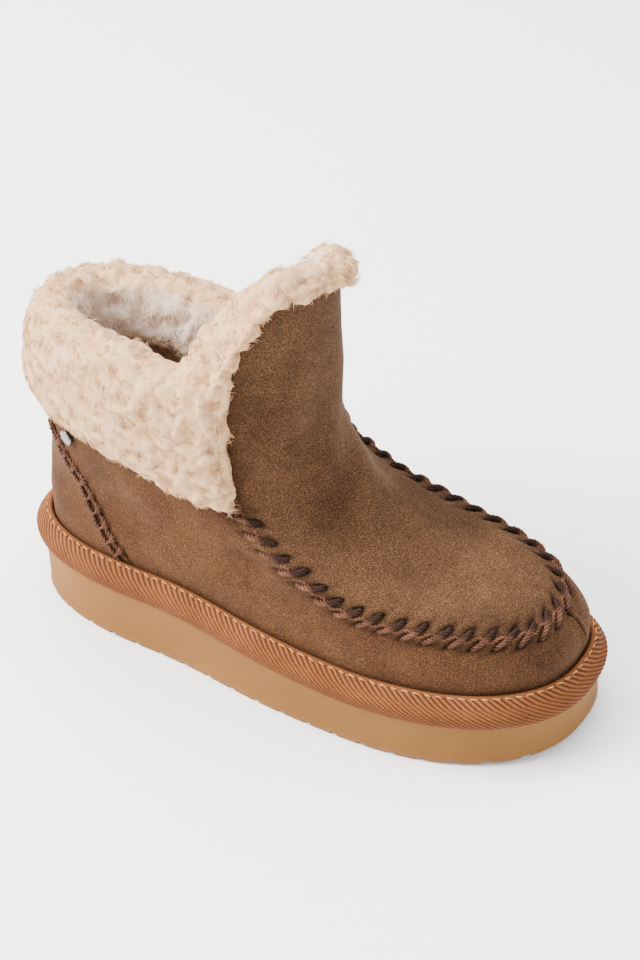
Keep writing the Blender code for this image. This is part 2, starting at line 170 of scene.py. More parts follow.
def angleFromHeel(angles):
    outer = np.degrees(angles) % 360.0
    return np.where(outer <= 180.0, outer, (360.0 - outer) * flapEnds["outer"] / flapEnds["inner"])


def sectionRing(section, angles):
    x, along = planRing(section.plan, angles)
    fore = np.cos(angles)
    across = np.sin(angles)
    middle = (section.heel + section.toe) / 2
    share = (section.heel - section.toe) / 2 * fore + (middle - section.side) * fore ** 2 + section.side
    peakStart = np.where(across > 0, boot["outerPeakStart"], boot["innerPeakStart"])
    peak = smoothStep((-fore - peakStart) / (boot["peakFull"] - peakStart))
    notch = bell(angleFromHeel(angles) - boot["notchAngle"], boot["notchSpread"])
    z = deckHeight(along) + share * boot["collarRise"] + section.peak * boot["peakRise"] * peak
    z = z + section.peak * (boot["outerCollarLift"] * across - boot["notchDrop"] * notch)
    z = z - section.peak * boot["innerEase"] * bell(np.degrees(angles) - 218.0, 26.0)
    return toWorld(x, along, z)


# Points on the upper's outer face, one for each pair of an angle and a level
def upperPoints(angles, levels):
    angles = np.asarray(angles, float) % (2 * math.pi)
    levels = np.broadcast_to(levels, angles.shape)
    base = boot["clearance"]
    rings = [outlineRing(angles, boot["tapeSeat"], boot["coreHeight"] + base)]
    rings.append(outlineRing(angles, boot["tapeSeat"], boot["tapeHeight"] + base))
    rings = np.array(rings + [sectionRing(section, angles) for section in sections])
    steps = np.diff(rings, axis=0)
    gaps = np.linalg.norm(steps, axis=2)[:, :, None]
    slopes = steps / gaps
    inner = (slopes[:-1] * gaps[1:] + slopes[1:] * gaps[:-1]) / (gaps[1:] + gaps[:-1])
    tangents = np.concatenate([slopes[:1], inner, slopes[-1:]])
    low = np.clip(np.floor(levels).astype(int), 0, len(rings) - 2)
    t = (levels - low)[:, None]
    rib = np.arange(len(angles))
    gap = gaps[low, rib]
    blend = t * t * (3 - 2 * t)
    curve = rings[low, rib] * (1 - blend) + rings[low + 1, rib] * blend
    curve = curve + tangents[low, rib] * gap * t * (1 - t) ** 2
    return curve - tangents[low + 1, rib] * gap * t * t * (1 - t)


def upperFrame(angles, levels):
    small = 1e-3
    levels = np.broadcast_to(levels, np.shape(angles))
    roundFoot = upperPoints(angles + small, levels) - upperPoints(angles - small, levels)
    upRib = upperPoints(angles, np.minimum(levels + small, topLevel)) - upperPoints(angles, levels - small)
    return unit(np.cross(roundFoot, upRib)), unit(upRib)


# Level on each rib at a distance below the collar's edge, measured along the upper
def levelBelowCollar(angles, distances):
    samples = np.linspace(2.0, topLevel, 121)
    stack = np.array([upperPoints(angles, level) for level in samples])
    lengths = np.linalg.norm(np.diff(stack, axis=0), axis=2)
    below = np.concatenate([np.cumsum(lengths[::-1], axis=0)[::-1], np.zeros((1, len(angles)))])
    return np.array([np.interp(-d, -below[:, i], samples) for i, d in enumerate(distances)])


# Smooth curve through rows of values, with the same number of steps between each two
def smoothRows(rows, perRow):
    rows = np.asarray(rows, float)
    padded = np.concatenate([2 * rows[:1] - rows[1:2], rows, 2 * rows[-1:] - rows[-2:-1]])
    points = []
    for i in range(len(rows) - 1):
        a, b, c, d = padded[i:i + 4]
        for t in np.arange(perRow) / perRow:
            points.append(b + 0.5 * t * (c - a + t * (2 * a - 5 * b + 4 * c - d + t * (3 * (b - c) + d - a))))
    points.append(rows[-1])
    return np.array(points)


# A route on the upper, sampled evenly along its length, with its frame at each sample
def surfaceRoute(angles, levels, spacing):
    centre = upperPoints(angles, levels)
    lengths = runLengths(centre)
    count = max(int(lengths[-1] / spacing) + 1, 2)
    even = np.linspace(0.0, lengths[-1], count)
    angles = np.interp(even, lengths, angles)
    levels = np.interp(even, lengths, levels)
    centre = upperPoints(angles, levels)
    normals, _ = upperFrame(angles, levels)
    forward = unit(np.gradient(centre, axis=0))
    sideways = unit(np.cross(normals, forward))
    return {"along": even, "centre": centre, "normal": normals, "forward": forward, "side": sideways}


def noiseAt(points, scale, seed=0.0):
    place = Vector((seed, seed * 1.7, -seed))
    return np.array([noise.noise(Vector(point) * scale + place) for point in points])


# Ribs round the boot, closer together where the density by degrees is higher
def unevenAngles(count, density):
    fine = np.linspace(0.0, 360.0, 7201)
    dense = density(fine)
    total = np.concatenate([[0.0], np.cumsum((dense[1:] + dense[:-1]) / 2)])
    return np.interp(np.arange(count) / count * total[-1], total, fine)


# Quads over a grid of rows, each row joined into a ring
def gridFaces(rows, columns, joinRows=False):
    i, j = np.meshgrid(np.arange(rows if joinRows else rows - 1), np.arange(columns), indexing="ij")
    right = (j + 1) % columns
    above = ((i + 1) % rows) * columns
    return np.stack([i * columns + j, i * columns + right, above + right, above + j], axis=-1).reshape(-1, 4)


# Normals over a grid of rings, and the directions from row to row
def gridNormals(grid):
    roundFoot = np.roll(grid, -1, axis=1) - np.roll(grid, 1, axis=1)
    return unit(np.cross(np.gradient(grid, axis=0), roundFoot)), unit(np.gradient(grid, axis=0))


# Faces turned outwards on a closed skin of quads
def outwardFaces(vertices, faces):
    a, b, c, d = (vertices[faces[:, k]] for k in range(4))
    volume = np.sum(np.cross(a, b) * c) + np.sum(np.cross(a, c) * d)
    return faces if volume > 0 else faces[:, ::-1]


def meshFrom(name, vertices, faces):
    mesh = bpy.data.meshes.new(name)
    mesh.from_pydata(np.asarray(vertices).tolist(), [], [tuple(int(k) for k in face) for face in faces])
    mesh.shade_smooth()
    return mesh


def setValues(mesh, name, values, kind="FLOAT"):
    layer = mesh.attributes.new(name, kind, "POINT")
    values = np.asarray(values, np.int32 if kind == "INT" else np.float32)
    layer.data.foreach_set("vector" if kind == "FLOAT_VECTOR" else "value", values.ravel())


def addPiece(name, mesh, material, replaced=()):
    mesh.name = name
    if not mesh.materials:
        mesh.materials.append(material)
    piece = bpy.data.objects.new(name, mesh)
    bpy.context.scene.collection.objects.link(piece)
    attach(piece, "root")
    if replaced:
        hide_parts(*replaced)


# Several loose shapes in one, each given as its vertices and its faces
def mergeShapes(shapes):
    vertices = []
    faces = []
    start = 0
    for points, polygons in shapes:
        vertices.append(points)
        faces += [tuple(int(k) + start for k in polygon) for polygon in polygons]
        start += len(points)
    return np.concatenate(vertices), faces


# A closed tube along a path. Hints are directions that the tube's sections are turned from.
def tubeShape(path, radii, sides, hints):
    forward = unit(np.gradient(path, axis=0))
    side = unit(np.cross(np.broadcast_to(hints, path.shape), forward))
    up = np.cross(forward, side)
    turns = np.arange(sides) * 2 * math.pi / sides
    ring = np.cos(turns)[None, :, None] * side[:, None, :] + np.sin(turns)[None, :, None] * up[:, None, :]
    points = path[:, None, :] + np.broadcast_to(radii, len(path))[:, None, None] * ring
    faces = [tuple(face) for face in gridFaces(len(path), sides)]
    last = (len(path) - 1) * sides
    faces.append(tuple(range(sides - 1, -1, -1)))
    faces.append(tuple(range(last, last + sides)))
    return points.reshape(-1, 3), faces


# A cord of several plies laid round each other
def cordShapes(path, hints, cord, start=0.0):
    hints = np.broadcast_to(hints, path.shape)
    forward = unit(np.gradient(path, axis=0))
    side = unit(np.cross(hints, forward))
    up = np.cross(forward, side)
    run = runLengths(path)
    shapes = []
    for ply in range(cord["plies"]):
        turn = 2 * math.pi * (run / cord["lay"] + ply / cord["plies"]) + start
        offset = np.cos(turn)[:, None] * side * cord["flat"] + np.sin(turn)[:, None] * up
        shapes.append(tubeShape(path + offset * cord["spread"], cord["radius"], cord["sides"], hints))
    return shapes


# Euler turns whose axes are the given side, forward and normal directions
def turnsOf(sides, forwards, normals):
    turns = []
    for side, forward, normal in zip(sides, forwards, normals):
        turns.append(Matrix((side, forward, normal)).transposed().to_euler())
    return np.array(turns)


def linearColour(hexText):
    channels = [int(hexText[i:i + 2], 16) / 255 for i in (0, 2, 4)]
    linear = [c / 12.92 if c <= 0.04045 else ((c + 0.055) / 1.055) ** 2.4 for c in channels]
    return (*linear, 1.0)


# Adds a node with its settings, its links and a ramp's stops, and gives back one of its outputs
def addNode(tree, kind, inputs=None, output=0, stops=(), **settings):
    node = tree.nodes.new(kind)
    for key, value in settings.items():
        setattr(node, key, value)
    for key, value in (inputs or {}).items():
        if isinstance(value, bpy.types.NodeSocket):
            tree.links.new(value, node.inputs[key])
        else:
            node.inputs[key].default_value = value
    if stops:
        band = node.color_ramp
        while len(band.elements) < len(stops):
            band.elements.new(0.5)
        for element, (position, hexText) in zip(band.elements, stops):
            element.position = position
            element.color = linearColour(hexText)
    return node.outputs[output]


# A material from its shader's settings and these tables:
# - patterns of noise in object space, each with its scale, detail and roughness
# - layers of colour, each with its blend, its amount and its colour
# - reliefs, each with its source, strength and depth in metres
# A source is a pattern, a mesh attribute or the height. An amount is a number, a source, a source with
# the values where it is 0 and 1, or a list of two to multiply. A colour is hex, or a source with stops.
def makeMaterial(name, settings, patterns, layers, reliefs=(), through=0.0):
    material = bpy.data.materials.new(name)
    material.use_nodes = True
    tree = material.node_tree
    shader = tree.nodes["Principled BSDF"]
    for key, value in settings.items():
        shader.inputs[key].default_value = linearColour(value) if isinstance(value, str) else value
    place = addNode(tree, "ShaderNodeTexCoord", output="Object")
    sources = {}
    for key, (scale, detail, roughness) in patterns.items():
        inputs = {"Vector": place, "Scale": scale, "Detail": detail, "Roughness": roughness}
        sources[key] = addNode(tree, "ShaderNodeTexNoise", inputs, "Fac")

    def amountOf(amount):
        if isinstance(amount, float):
            return amount
        if isinstance(amount, list):
            first, second = (amountOf(part) for part in amount)
            return addNode(tree, "ShaderNodeMath", {0: first, 1: second}, operation="MULTIPLY")
        if isinstance(amount, tuple):
            inputs = {"Value": amountOf(amount[0]), "From Min": amount[1], "From Max": amount[2]}
            return addNode(tree, "ShaderNodeMapRange", inputs, "Result")
        if amount == "height":
            return addNode(tree, "ShaderNodeSeparateXYZ", {"Vector": place}, "Z")
        return sources.get(amount) or addNode(tree, "ShaderNodeAttribute", None, "Fac", attribute_name=amount)

    def colourOf(colour):
        if isinstance(colour, str):
            return linearColour(colour)
        return addNode(tree, "ShaderNodeValToRGB", {"Fac": amountOf(colour[0])}, "Color", colour[1])

    colour = colourOf(layers[0])
    for blend, amount, added in layers[1:]:
        inputs = {0: amountOf(amount), 6: colour, 7: colourOf(added)}
        colour = addNode(tree, "ShaderNodeMix", inputs, 2, data_type="RGBA", blend_type=blend)
    tree.links.new(colour, shader.inputs["Base Color"])
    normals = {}
    for source, strength, depth in reliefs:
        inputs = {"Height": sources[source], "Strength": strength, "Distance": depth, **normals}
        normals = {"Normal": addNode(tree, "ShaderNodeBump", inputs, "Normal")}
        tree.links.new(normals["Normal"], shader.inputs["Normal"])
    if through:
        passed = addNode(tree, "ShaderNodeBsdfTranslucent", {"Color": colour, **normals})
        mixed = addNode(tree, "ShaderNodeMixShader", {0: through, 1: shader.outputs[0], 2: passed})
        tree.links.new(mixed, tree.nodes["Material Output"].inputs["Surface"])
    return material


# Brushed cow suede, matt with a faint sheen: a soft nap in patches, some darker ones painted shade from the
# cuff, flecks about 0.6 mm apart, drawn coarser than the real fibres so that they show, and painted shade in
# the folds, seams and stitch holes
suede = makeMaterial(
    "brushed suede",
    {
        "Roughness": 0.93, "Specular IOR Level": 0.15, "Sheen Weight": 0.10, "Sheen Roughness": 0.45,
        "Sheen Tint": "c9a07a",
    },
    {"patches": (42.0, 5.0, 0.62), "fuzz": (210.0, 4.0, 0.65), "grain": (1800.0, 1.2, 0.7)},
    (
        ("patches", ((0.30, "5b3a21"), (0.50, "684528"), (0.70, "734e31"))),
        ("MIX", "tone", ("patches", ((0.30, "5f4229"), (0.50, "6b4b31"), (0.70, "775539")))),
        # Nap patches, partly painted shade from the cuff
        ("MULTIPLY", 1.0, ("nap", ((0.0, "c6bdb5"), (0.5, "ecebe9"), (1.0, "ffffff")))),
        ("MULTIPLY", 0.35, ("fuzz", ((0.30, "b4b4b4"), (0.70, "ffffff")))),
        ("MULTIPLY", 0.95, ("grain", ((0.34, "76726e"), (0.52, "b8b4b0"), (0.64, "ffffff")))),
        # Painted shade in the folds, seams and stitch holes
        ("MIX", "hollow", "1c110a"),
    ),
    (("fuzz", 0.35, 0.0005), ("grain", 0.6, 0.0003)),
)

# Waxed cotton cord, brown with a dull shine, worn lighter in places, with fibres about 1 mm long, and
# painted shade where it sinks into the suede
thread = makeMaterial(
    "waxed cotton cord",
    {"Roughness": 0.65, "Specular IOR Level": 0.15},
    {"fibres": (900.0, 3.0, 0.7), "worn": (160.0, 2.0, 0.5)},
    (
        ("worn", ((0.30, "432719"), (0.55, "5d3b29"), (0.78, "775039"))),
        ("MULTIPLY", 0.55, ("fibres", ((0.35, "7d7d7d"), (0.65, "ffffff")))),
        # Painted shade where the cord sinks into the suede
        ("MIX", "sunken", "221009"),
    ),
    (("fibres", 0.6, 0.0002),),
)

# Cotton twill tape, matt: painted light on the ribs and painted shade in the valleys between them, and
# yarns about 0.8 mm apart across
twill = makeMaterial(
    "cotton twill tape",
    {"Roughness": 0.8, "Specular IOR Level": 0.12},
    {"yarns": (1300.0, 2.0, 0.6), "uneven": (75.0, 3.0, 0.5)},
    (
        # The rib height as colour: painted light on the ribs, painted shade in the valleys
        ("rib", ((0.06, "361d0e"), (0.40, "663b1d"), (0.90, "8b5732"))),
        ("MULTIPLY", 0.7, ("uneven", ((0.30, "d8cfc6"), (0.70, "ffffff")))),
        ("MULTIPLY", 0.45, ("yarns", ((0.30, "8c8c8c"), (0.62, "ffffff")))),
    ),
    (("yarns", 0.5, 0.0002),),
)

# Light cotton thread of the tape's stitches, softly shining
lightThread = makeMaterial(
    "light cotton thread",
    {"Roughness": 0.6, "Specular IOR Level": 0.2},
    {"fibres": (2200.0, 2.0, 0.6)},
    (("fibres", ((0.30, "a8703f"), (0.65, "d29c6a"))),),
)

# Moulded EVA foam: a close matt skin with cells of about 0.4 mm, drawn coarser than the real ones so
# that they show, a little dirt within 4.5 mm of the floor, and a dark seat in the tape's shadow
foam = makeMaterial(
    "moulded foam",
    {"Roughness": 0.72, "Specular IOR Level": 0.15},
    {"broad": (22.0, 3.0, 0.5), "cells": (2600.0, 2.0, 0.5), "dirt": (130.0, 4.0, 0.6)},
    (
        ("broad", ((0.30, "724d24"), (0.55, "785227"), (0.75, "7f582c"))),
        ("MULTIPLY", 0.5, ("cells", ((0.32, "cfc8c0"), (0.60, "ffffff")))),
        ("MIX", [("height", 0.0045, 0.0), "dirt"], "7d5f45"),
        ("MIX", "seat", "4a2a10"),
    ),
    (("cells", 0.35, 0.00015),),
)

# Polished steel with hair scratches about 0.6 mm apart
steel = makeMaterial(
    "polished steel",
    {"Metallic": 1.0, "Roughness": 0.2},
    {"scratches": (1700.0, 4.0, 0.7)},
    (("scratches", ((0.30, "57565a"), (0.70, "7d7c80"))),),
    (("scratches", 0.12, 0.0001),),
)

# Matt pale paper under the boot, almost even in colour
paper = makeMaterial(
    "pale paper",
    {"Roughness": 0.95, "Specular IOR Level": 0.1},
    {"fibres": (6.0, 2.0, 0.5)},
    (("fibres", ((0.0, "f6f6f6"), (1.0, "fafafa"))),),
)


# Curly wool pile, matt with a faint sheen: a base colour with warmer patches, strands about 1.5 mm apart
# and some light that passes through. Painted shade: a darker root colour at the roots and in the hollows,
# and a warmer mix where the shade value is high, partly painted shade and partly tone
def pileMaterial(name, cream, warm, root):
    return makeMaterial(
        name,
        {
            "Roughness": 0.85, "Specular IOR Level": 0.1, "Sheen Weight": 0.12, "Sheen Roughness": 0.4,
            "Sheen Tint": "fff0dc",
        },
        {"patches": (125.0, 3.0, 0.6), "strands": (650.0, 3.0, 0.7)},
        (
            cream,
            ("MIX", ("patches", 0.44, 0.85), warm),
            ("MIX", ("shade", 0.45, 1.25), warm),
            ("MULTIPLY", 0.5, ("strands", ((0.30, "cdbfae"), (0.60, "ffffff")))),
            # Painted shade: the root colour at the hairs' roots and in the fleece's hollows
            ("MIX", ("tip", 0.52, 0.0), root),
            # Paler inside the boot's mouth: painted light
            ("MIX", "inner", "f3e8dc"),
        ),
        (("strands", 0.4, 0.0005),),
        0.30,
    )


fleece = pileMaterial("cream wool pile", "e8c398", "d09b64", "a97f55")
# A paler copy of the pile for the hairs inside the cuff's mouth: painted light in the shaded cavity
litFleece = pileMaterial("lit wool pile", "f0dfcd", "dcb994", "bfa084")
# A darker copy of the pile for the lining and the insole: painted shade inside the boot
shadedFleece = pileMaterial("shaded wool pile", "d8bea5", "b59478", "8a6c53")
print("materials ready")

# Routes on the upper: angle in degrees from the heel round the outer side, and level
apronRoute = (
    (108, 4.70), (104, 4.40), (99.5, 4.12), (96, 3.82), (93.2, 3.52), (92.4, 3.28), (94.5, 3.12), (100, 3.05),
    (108, 3.03), (118, 3.02), (131, 3.0), (147, 2.9), (163, 2.86), (180, 2.86), (196, 2.92), (212, 3.0),
    (226, 3.05), (235, 3.12), (242, 3.26), (247, 3.5), (248, 3.8), (245, 4.15), (241, 4.5), (238, 4.85),
)
ladderRoute = ((54, 1.0), (51.5, 1.55), (48.5, 2.34), (45.8, 2.95), (43.6, 3.54), (39.0, 4.12), (33.0, 4.6))

# The apron seam from the outer ankle round the toe to the inner ankle
apronRows = smoothRows(apronRoute, 8)
apron = surfaceRoute(np.radians(apronRows[:, 0]), apronRows[:, 1], 0.0006)
ladderRows = smoothRows(ladderRoute, 6)
ladders = {
    "outer": surfaceRoute(np.radians(ladderRows[:, 0]), ladderRows[:, 1], 0.0006),
    "inner": surfaceRoute(2 * math.pi - np.radians(ladderRows[:, 0]), ladderRows[:, 1], 0.0006),
}

whip = {
    "pitch": 0.0096,
    "reach": 0.0036,
    "slant": 0.0045,
    "top": 0.0024,
    "sink": 0.0012,
    "cord": {"plies": 4, "spread": 0.00078, "radius": 0.00052, "lay": 0.0072, "sides": 6, "flat": 1.2},
    "running": {"plies": 2, "spread": 0.00042, "radius": 0.00046, "lay": 0.0038, "sides": 5, "flat": 1.0},
    "knot": {"plies": 3, "spread": 0.0005, "radius": 0.0005, "lay": 0.004, "sides": 6, "flat": 1.0},
    "loop": {"lift": 0.0022, "back": 0.0035, "radius": 0.0034, "rise": 0.0016, "coil": 0.0013, "samples": 40},
}
whipCount = int(apron["along"][-1] / whip["pitch"])
whipPlaces = (np.arange(whipCount) + 0.5) * apron["along"][-1] / whipCount

upperSizes = {
    "ribs": 400,
    "innerRows": 26,
    "toeSeamAngle": 183.5,
    "toeSeamDepth": 0.0011,
    "toeSeamWidth": 0.0009,
    "ridgeHeight": 0.0016,
    "ridgeWidth": 0.0022,
    "holeDepth": 0.0015,
    "holeWidth": 0.0017,
    "puff": 0.0008,
    "pleat": 0.00045,
    "laceTrough": 0.0005,
    "unevenness": 0.0005,
    "deepest": 0.0017,
    "darkest": 0.85,
    "broadScale": 38.0,
    "fineScale": 110.0,
    "shoulder": 0.4,
    "foldShade": 70,
    "seamReach": 0.022,
    "stitchSpread": 0.0022,
    "apronPuff": (0.0075, 0.005),
    "wallPuff": (-0.0070, 0.0045),
    "pleatPlace": (0.0055, 0.0035),
    "laceReach": 0.012,
    "laceRidge": (0.0045, 0.0022),
    "laceGroove": 0.0020,
    "toeRadius": 0.095,
    "toeLip": (0.0032, 0.0024),
}
# Rows of the upper: how many between one level and the next
upperRows = ((0.5, 2.4, 16), (2.4, 3.6, 56), (3.6, 4.8, 42), (4.8, 6.2, 24), (6.2, 8.0, 16))

# Folds of the suede: the route, the depth of the trough (a ridge where it is
# negative) and its width
foldOf = namedtuple("foldOf", "route depth width")
folds = (
    foldOf(((206, 6.25), (192, 6.0), (178, 5.55), (164, 5.1), (150, 4.8), (138, 4.5)), 0.0016, 0.0075),
    foldOf(((198, 5.55), (184, 5.25), (168, 4.85), (152, 4.45)), -0.0011, 0.009),
    foldOf(((134, 5.2), (140, 4.7), (144, 4.2), (150, 3.9)), 0.0012, 0.009),
    foldOf(((120, 5.7), (126, 5.2), (134, 4.8)), 0.0011, 0.009),
    foldOf(((168, 7.5), (165, 6.8), (162, 6.1), (158, 5.5)), 0.0012, 0.010),
    foldOf(((146, 7.4), (143, 6.6), (142, 5.9)), -0.0011, 0.012),
    foldOf(((128, 7.2), (130, 6.5), (131, 5.8)), 0.0010, 0.009),
    foldOf(((114, 4.9), (121, 4.5), (130, 4.1)), 0.0009, 0.008),
    foldOf(((125, 3.8), (140, 3.6), (155, 3.65)), -0.0009, 0.012),
    foldOf(((150, 3.9), (165, 3.7), (180, 3.75), (195, 3.9)), 0.0007, 0.014),
    foldOf(((86, 3.9), (82, 3.4), (78, 2.9), (76, 2.4)), 0.0009, 0.007),
    foldOf(((66, 4.3), (64, 3.5), (62, 2.7)), -0.0008, 0.010),
    foldOf(((92, 2.9), (84, 2.6), (74, 2.3)), 0.0009, 0.0055),
    foldOf(((20, 4.4), (26, 3.6), (30, 2.8)), 0.0008, 0.009),
    foldOf(((232, 4.9), (222, 4.5), (210, 4.3), (198, 4.4)), 0.0014, 0.009),
    foldOf(((262, 5.6), (250, 5.0), (238, 4.7)), 0.0012, 0.010),
    foldOf(((285, 4.4), (278, 3.6), (270, 2.9)), 0.0009, 0.009),
    foldOf(((338, 4.4), (330, 3.4), (322, 2.6)), -0.0007, 0.010),
)


# Patches of brushed nap, lighter, or darker where the strength is negative, partly painted shade from the
# cuff: angle, level, radius and strength
napAndShadePatches = (
    (193, 6.0, 0.013, 0.8), (152, 4.95, 0.015, -0.7), (141, 4.35, 0.012, 0.6), (166, 4.2, 0.012, -0.5),
    (160, 3.75, 0.020, 0.9), (182, 3.55, 0.018, 0.8), (202, 4.0, 0.015, -0.8), (150, 3.2, 0.010, -0.6),
    (120, 4.3, 0.012, -0.3), (126, 5.0, 0.015, 0.7), (140, 6.6, 0.012, -0.8), (122, 6.9, 0.010, 0.6),
    (160, 6.9, 0.012, 0.5), (168, 6.1, 0.014, -0.6), (118, 5.9, 0.013, 0.5), (131, 5.6, 0.014, 0.5),
    (66, 3.4, 0.016, 0.7), (52, 4.2, 0.010, -0.7), (84, 2.9, 0.013, -0.5), (30, 3.0, 0.016, -0.4),
    (110, 2.4, 0.014, 0.5), (150, 2.2, 0.013, -0.5), (178, 2.3, 0.012, 0.5), (226, 4.6, 0.016, 0.5),
    (262, 3.2, 0.018, -0.6), (290, 3.4, 0.018, 0.6), (330, 3.0, 0.018, -0.5), (250, 2.3, 0.014, 0.5),
    (5, 2.6, 0.014, 0.5), (240, 6.4, 0.016, -0.5), (215, 5.4, 0.014, 0.4),
)


# Tone of the suede's nap, partly painted shade near the cuff
def napAndShadeTone(points):
    shade = np.zeros(len(points))
    for degrees, level, radius, strength in napAndShadePatches:
        middle = upperPoints(np.radians([degrees]), np.array([level]))[0]
        gap = points - middle
        uneven = 1 + 0.5 * noiseAt(points, 70.0, degrees)
        shade += strength * bell(np.linalg.norm(gap, axis=1) * uneven, radius)
    return np.clip(0.5 + 0.5 * shade, 0.0, 1.0)


# Distance from each point to the nearest sample of a path, and which sample that is
def nearestSamples(points, path):
    nearest = np.empty(len(points), int)
    distance = np.empty(len(points))
    for start in range(0, len(points), 4000):
        block = points[start:start + 4000]
        squares = ((block[:, None, :] - path[None, :, :]) ** 2).sum(axis=2)
        nearest[start:start + 4000] = squares.argmin(axis=1)
        distance[start:start + 4000] = np.sqrt(squares.min(axis=1))
    return nearest, distance


# Places along and across a seam, for points near it
def seamPlaces(points, seam):
    nearest, distance = nearestSamples(points, seam["centre"])
    gap = points - seam["centre"][nearest]
    along = seam["along"][nearest] + (gap * seam["forward"][nearest]).sum(axis=1)
    return along, (gap * seam["side"][nearest]).sum(axis=1), distance


# How far the suede stands out at each point, and the painted shade in its folds, seams, stitch holes
# and along the tape
def suedeRelief(points, degrees, levels):
    sizes = upperSizes
    broad = noiseAt(points, sizes["broadScale"], 3.0)
    fine = noiseAt(points, sizes["fineScale"], 8.0)
    out = broad * sizes["unevenness"] + fine * sizes["unevenness"] * 0.4
    hollow = np.zeros(len(points))
    for fold in folds:
        rows = smoothRows(fold.route, 8)
        path = upperPoints(np.radians(rows[:, 0]), rows[:, 1])
        nearest, distance = nearestSamples(points, path)
        fade = np.sin(math.pi * (nearest + 0.5) / len(path)) ** 0.7
        out -= fold.depth * fade * bell(distance, fold.width)
        out += fold.depth * sizes["shoulder"] * fade * bell(distance - 1.7 * fold.width, fold.width)
        # Painted shade in the bottom of each fold
        hollow += max(fold.depth, 0.0) * sizes["foldShade"] * fade * bell(distance, fold.width * 0.8)
    along, across, distance = seamPlaces(points, apron)
    tone = smoothStep(across / 0.0016) * smoothStep((angleOnSide(degrees) - 90.5) / 3.0)
    near = smoothStep((sizes["seamReach"] - distance) / 0.008)
    ridge = bell(across, sizes["ridgeWidth"])
    spacing = whipPlaces[1] - whipPlaces[0]
    phase = (along - whip["slant"] * across / whip["reach"]) / spacing
    fromStitch = (phase - np.floor(phase) - 0.5) * spacing
    inRun = smoothStep(along / 0.004) * smoothStep((apron["along"][-1] - along) / 0.004)
    pinch = bell(fromStitch, sizes["stitchSpread"])
    body = ridge * sizes["ridgeHeight"] * (1 - 0.35 * pinch)
    body += sizes["puff"] * (hump(across, *sizes["apronPuff"]) + hump(across, *sizes["wallPuff"]))
    body -= sizes["pleat"] * pinch * hump(np.abs(across), *sizes["pleatPlace"])
    holes = bell(np.hypot(fromStitch, np.abs(across) - whip["reach"]), sizes["holeWidth"])
    body -= sizes["holeDepth"] * holes
    out += body * near * inRun
    # Painted shade in the stitch holes, in the pinches and beside the seam
    shadows = 0.85 * holes + 0.30 * bell(across, 0.0045) * pinch + 0.22 * bell(across, 0.009)
    hollow += shadows * near * inRun
    for ladder in ladders.values():
        along, across, distance = seamPlaces(points, ladder)
        near = smoothStep((sizes["laceReach"] - distance) / 0.004)
        body = 0.8 * hump(np.abs(across), *sizes["laceRidge"]) - bell(across, sizes["laceGroove"])
        out += near * sizes["laceTrough"] * body
        hollow += near * 0.35 * bell(across, 0.0028)
    belowSeam = smoothStep((2.86 - levels) / 0.15) * smoothStep((levels - 1.2) / 0.3)
    fromToeSeam = (degrees - sizes["toeSeamAngle"]) * math.radians(1.0) * sizes["toeRadius"]
    out -= belowSeam * sizes["toeSeamDepth"] * bell(fromToeSeam, sizes["toeSeamWidth"])
    out += belowSeam * sizes["toeSeamDepth"] * 0.7 * hump(np.abs(fromToeSeam), *sizes["toeLip"])
    hollow += belowSeam * 0.95 * bell(fromToeSeam, sizes["toeSeamWidth"] * 0.9)
    # Painted shade along the tape's upper edge
    hollow += 0.15 * smoothStep((1.30 - levels) / 0.25)
    out = np.maximum(out, -sizes["deepest"])
    return out, np.clip(hollow, 0.0, sizes["darkest"]), tone


def angleOnSide(degrees):
    return np.where(degrees <= 180.0, degrees, 360.0 - degrees)


def makeUpper():
    toeSeam = upperSizes["toeSeamAngle"]
    degrees = unevenAngles(upperSizes["ribs"], lambda fine: 1 + 3.0 * bell(fine - toeSeam, 3.5))
    levels = [np.linspace(start, end, count, endpoint=False) for start, end, count in upperRows]
    levels = np.concatenate(levels + [[topLevel]])
    count = len(degrees)
    gridDegrees = np.tile(degrees, len(levels))
    gridLevels = np.repeat(levels, count)
    angles = np.radians(gridDegrees)
    points = upperPoints(angles, gridLevels)
    normals, _ = upperFrame(angles, gridLevels)
    out, hollow, tone = suedeRelief(points, gridDegrees, gridLevels)
    skin = points + normals * out[:, None]
    innerLevels = np.linspace(topLevel, 0.5, upperSizes["innerRows"])
    insideDegrees = np.tile(degrees, len(innerLevels))
    insideLevels = np.repeat(innerLevels, count)
    inside = upperPoints(np.radians(insideDegrees), insideLevels)
    insideNormals, _ = upperFrame(np.radians(insideDegrees), insideLevels)
    vertices = np.concatenate([skin, inside - insideNormals * (boot["wall"] - 0.0001)])
    faces = gridFaces(len(levels) + len(innerLevels), count, joinRows=True)
    mesh = meshFrom("upperSuede", vertices, outwardFaces(vertices, faces))
    extra = np.zeros(len(inside))
    setValues(mesh, "tone", np.concatenate([tone, extra]))
    # The suede's painted shade in its folds, seams and stitch holes
    setValues(mesh, "hollow", np.concatenate([hollow, extra]))
    # Nap tone, partly painted shade from the cuff
    setValues(mesh, "nap", np.concatenate([napAndShadeTone(points), extra + 0.5]))
    addPiece("upperSuede", mesh, suede, ("upper",))


makeUpper()
print("upper ready")


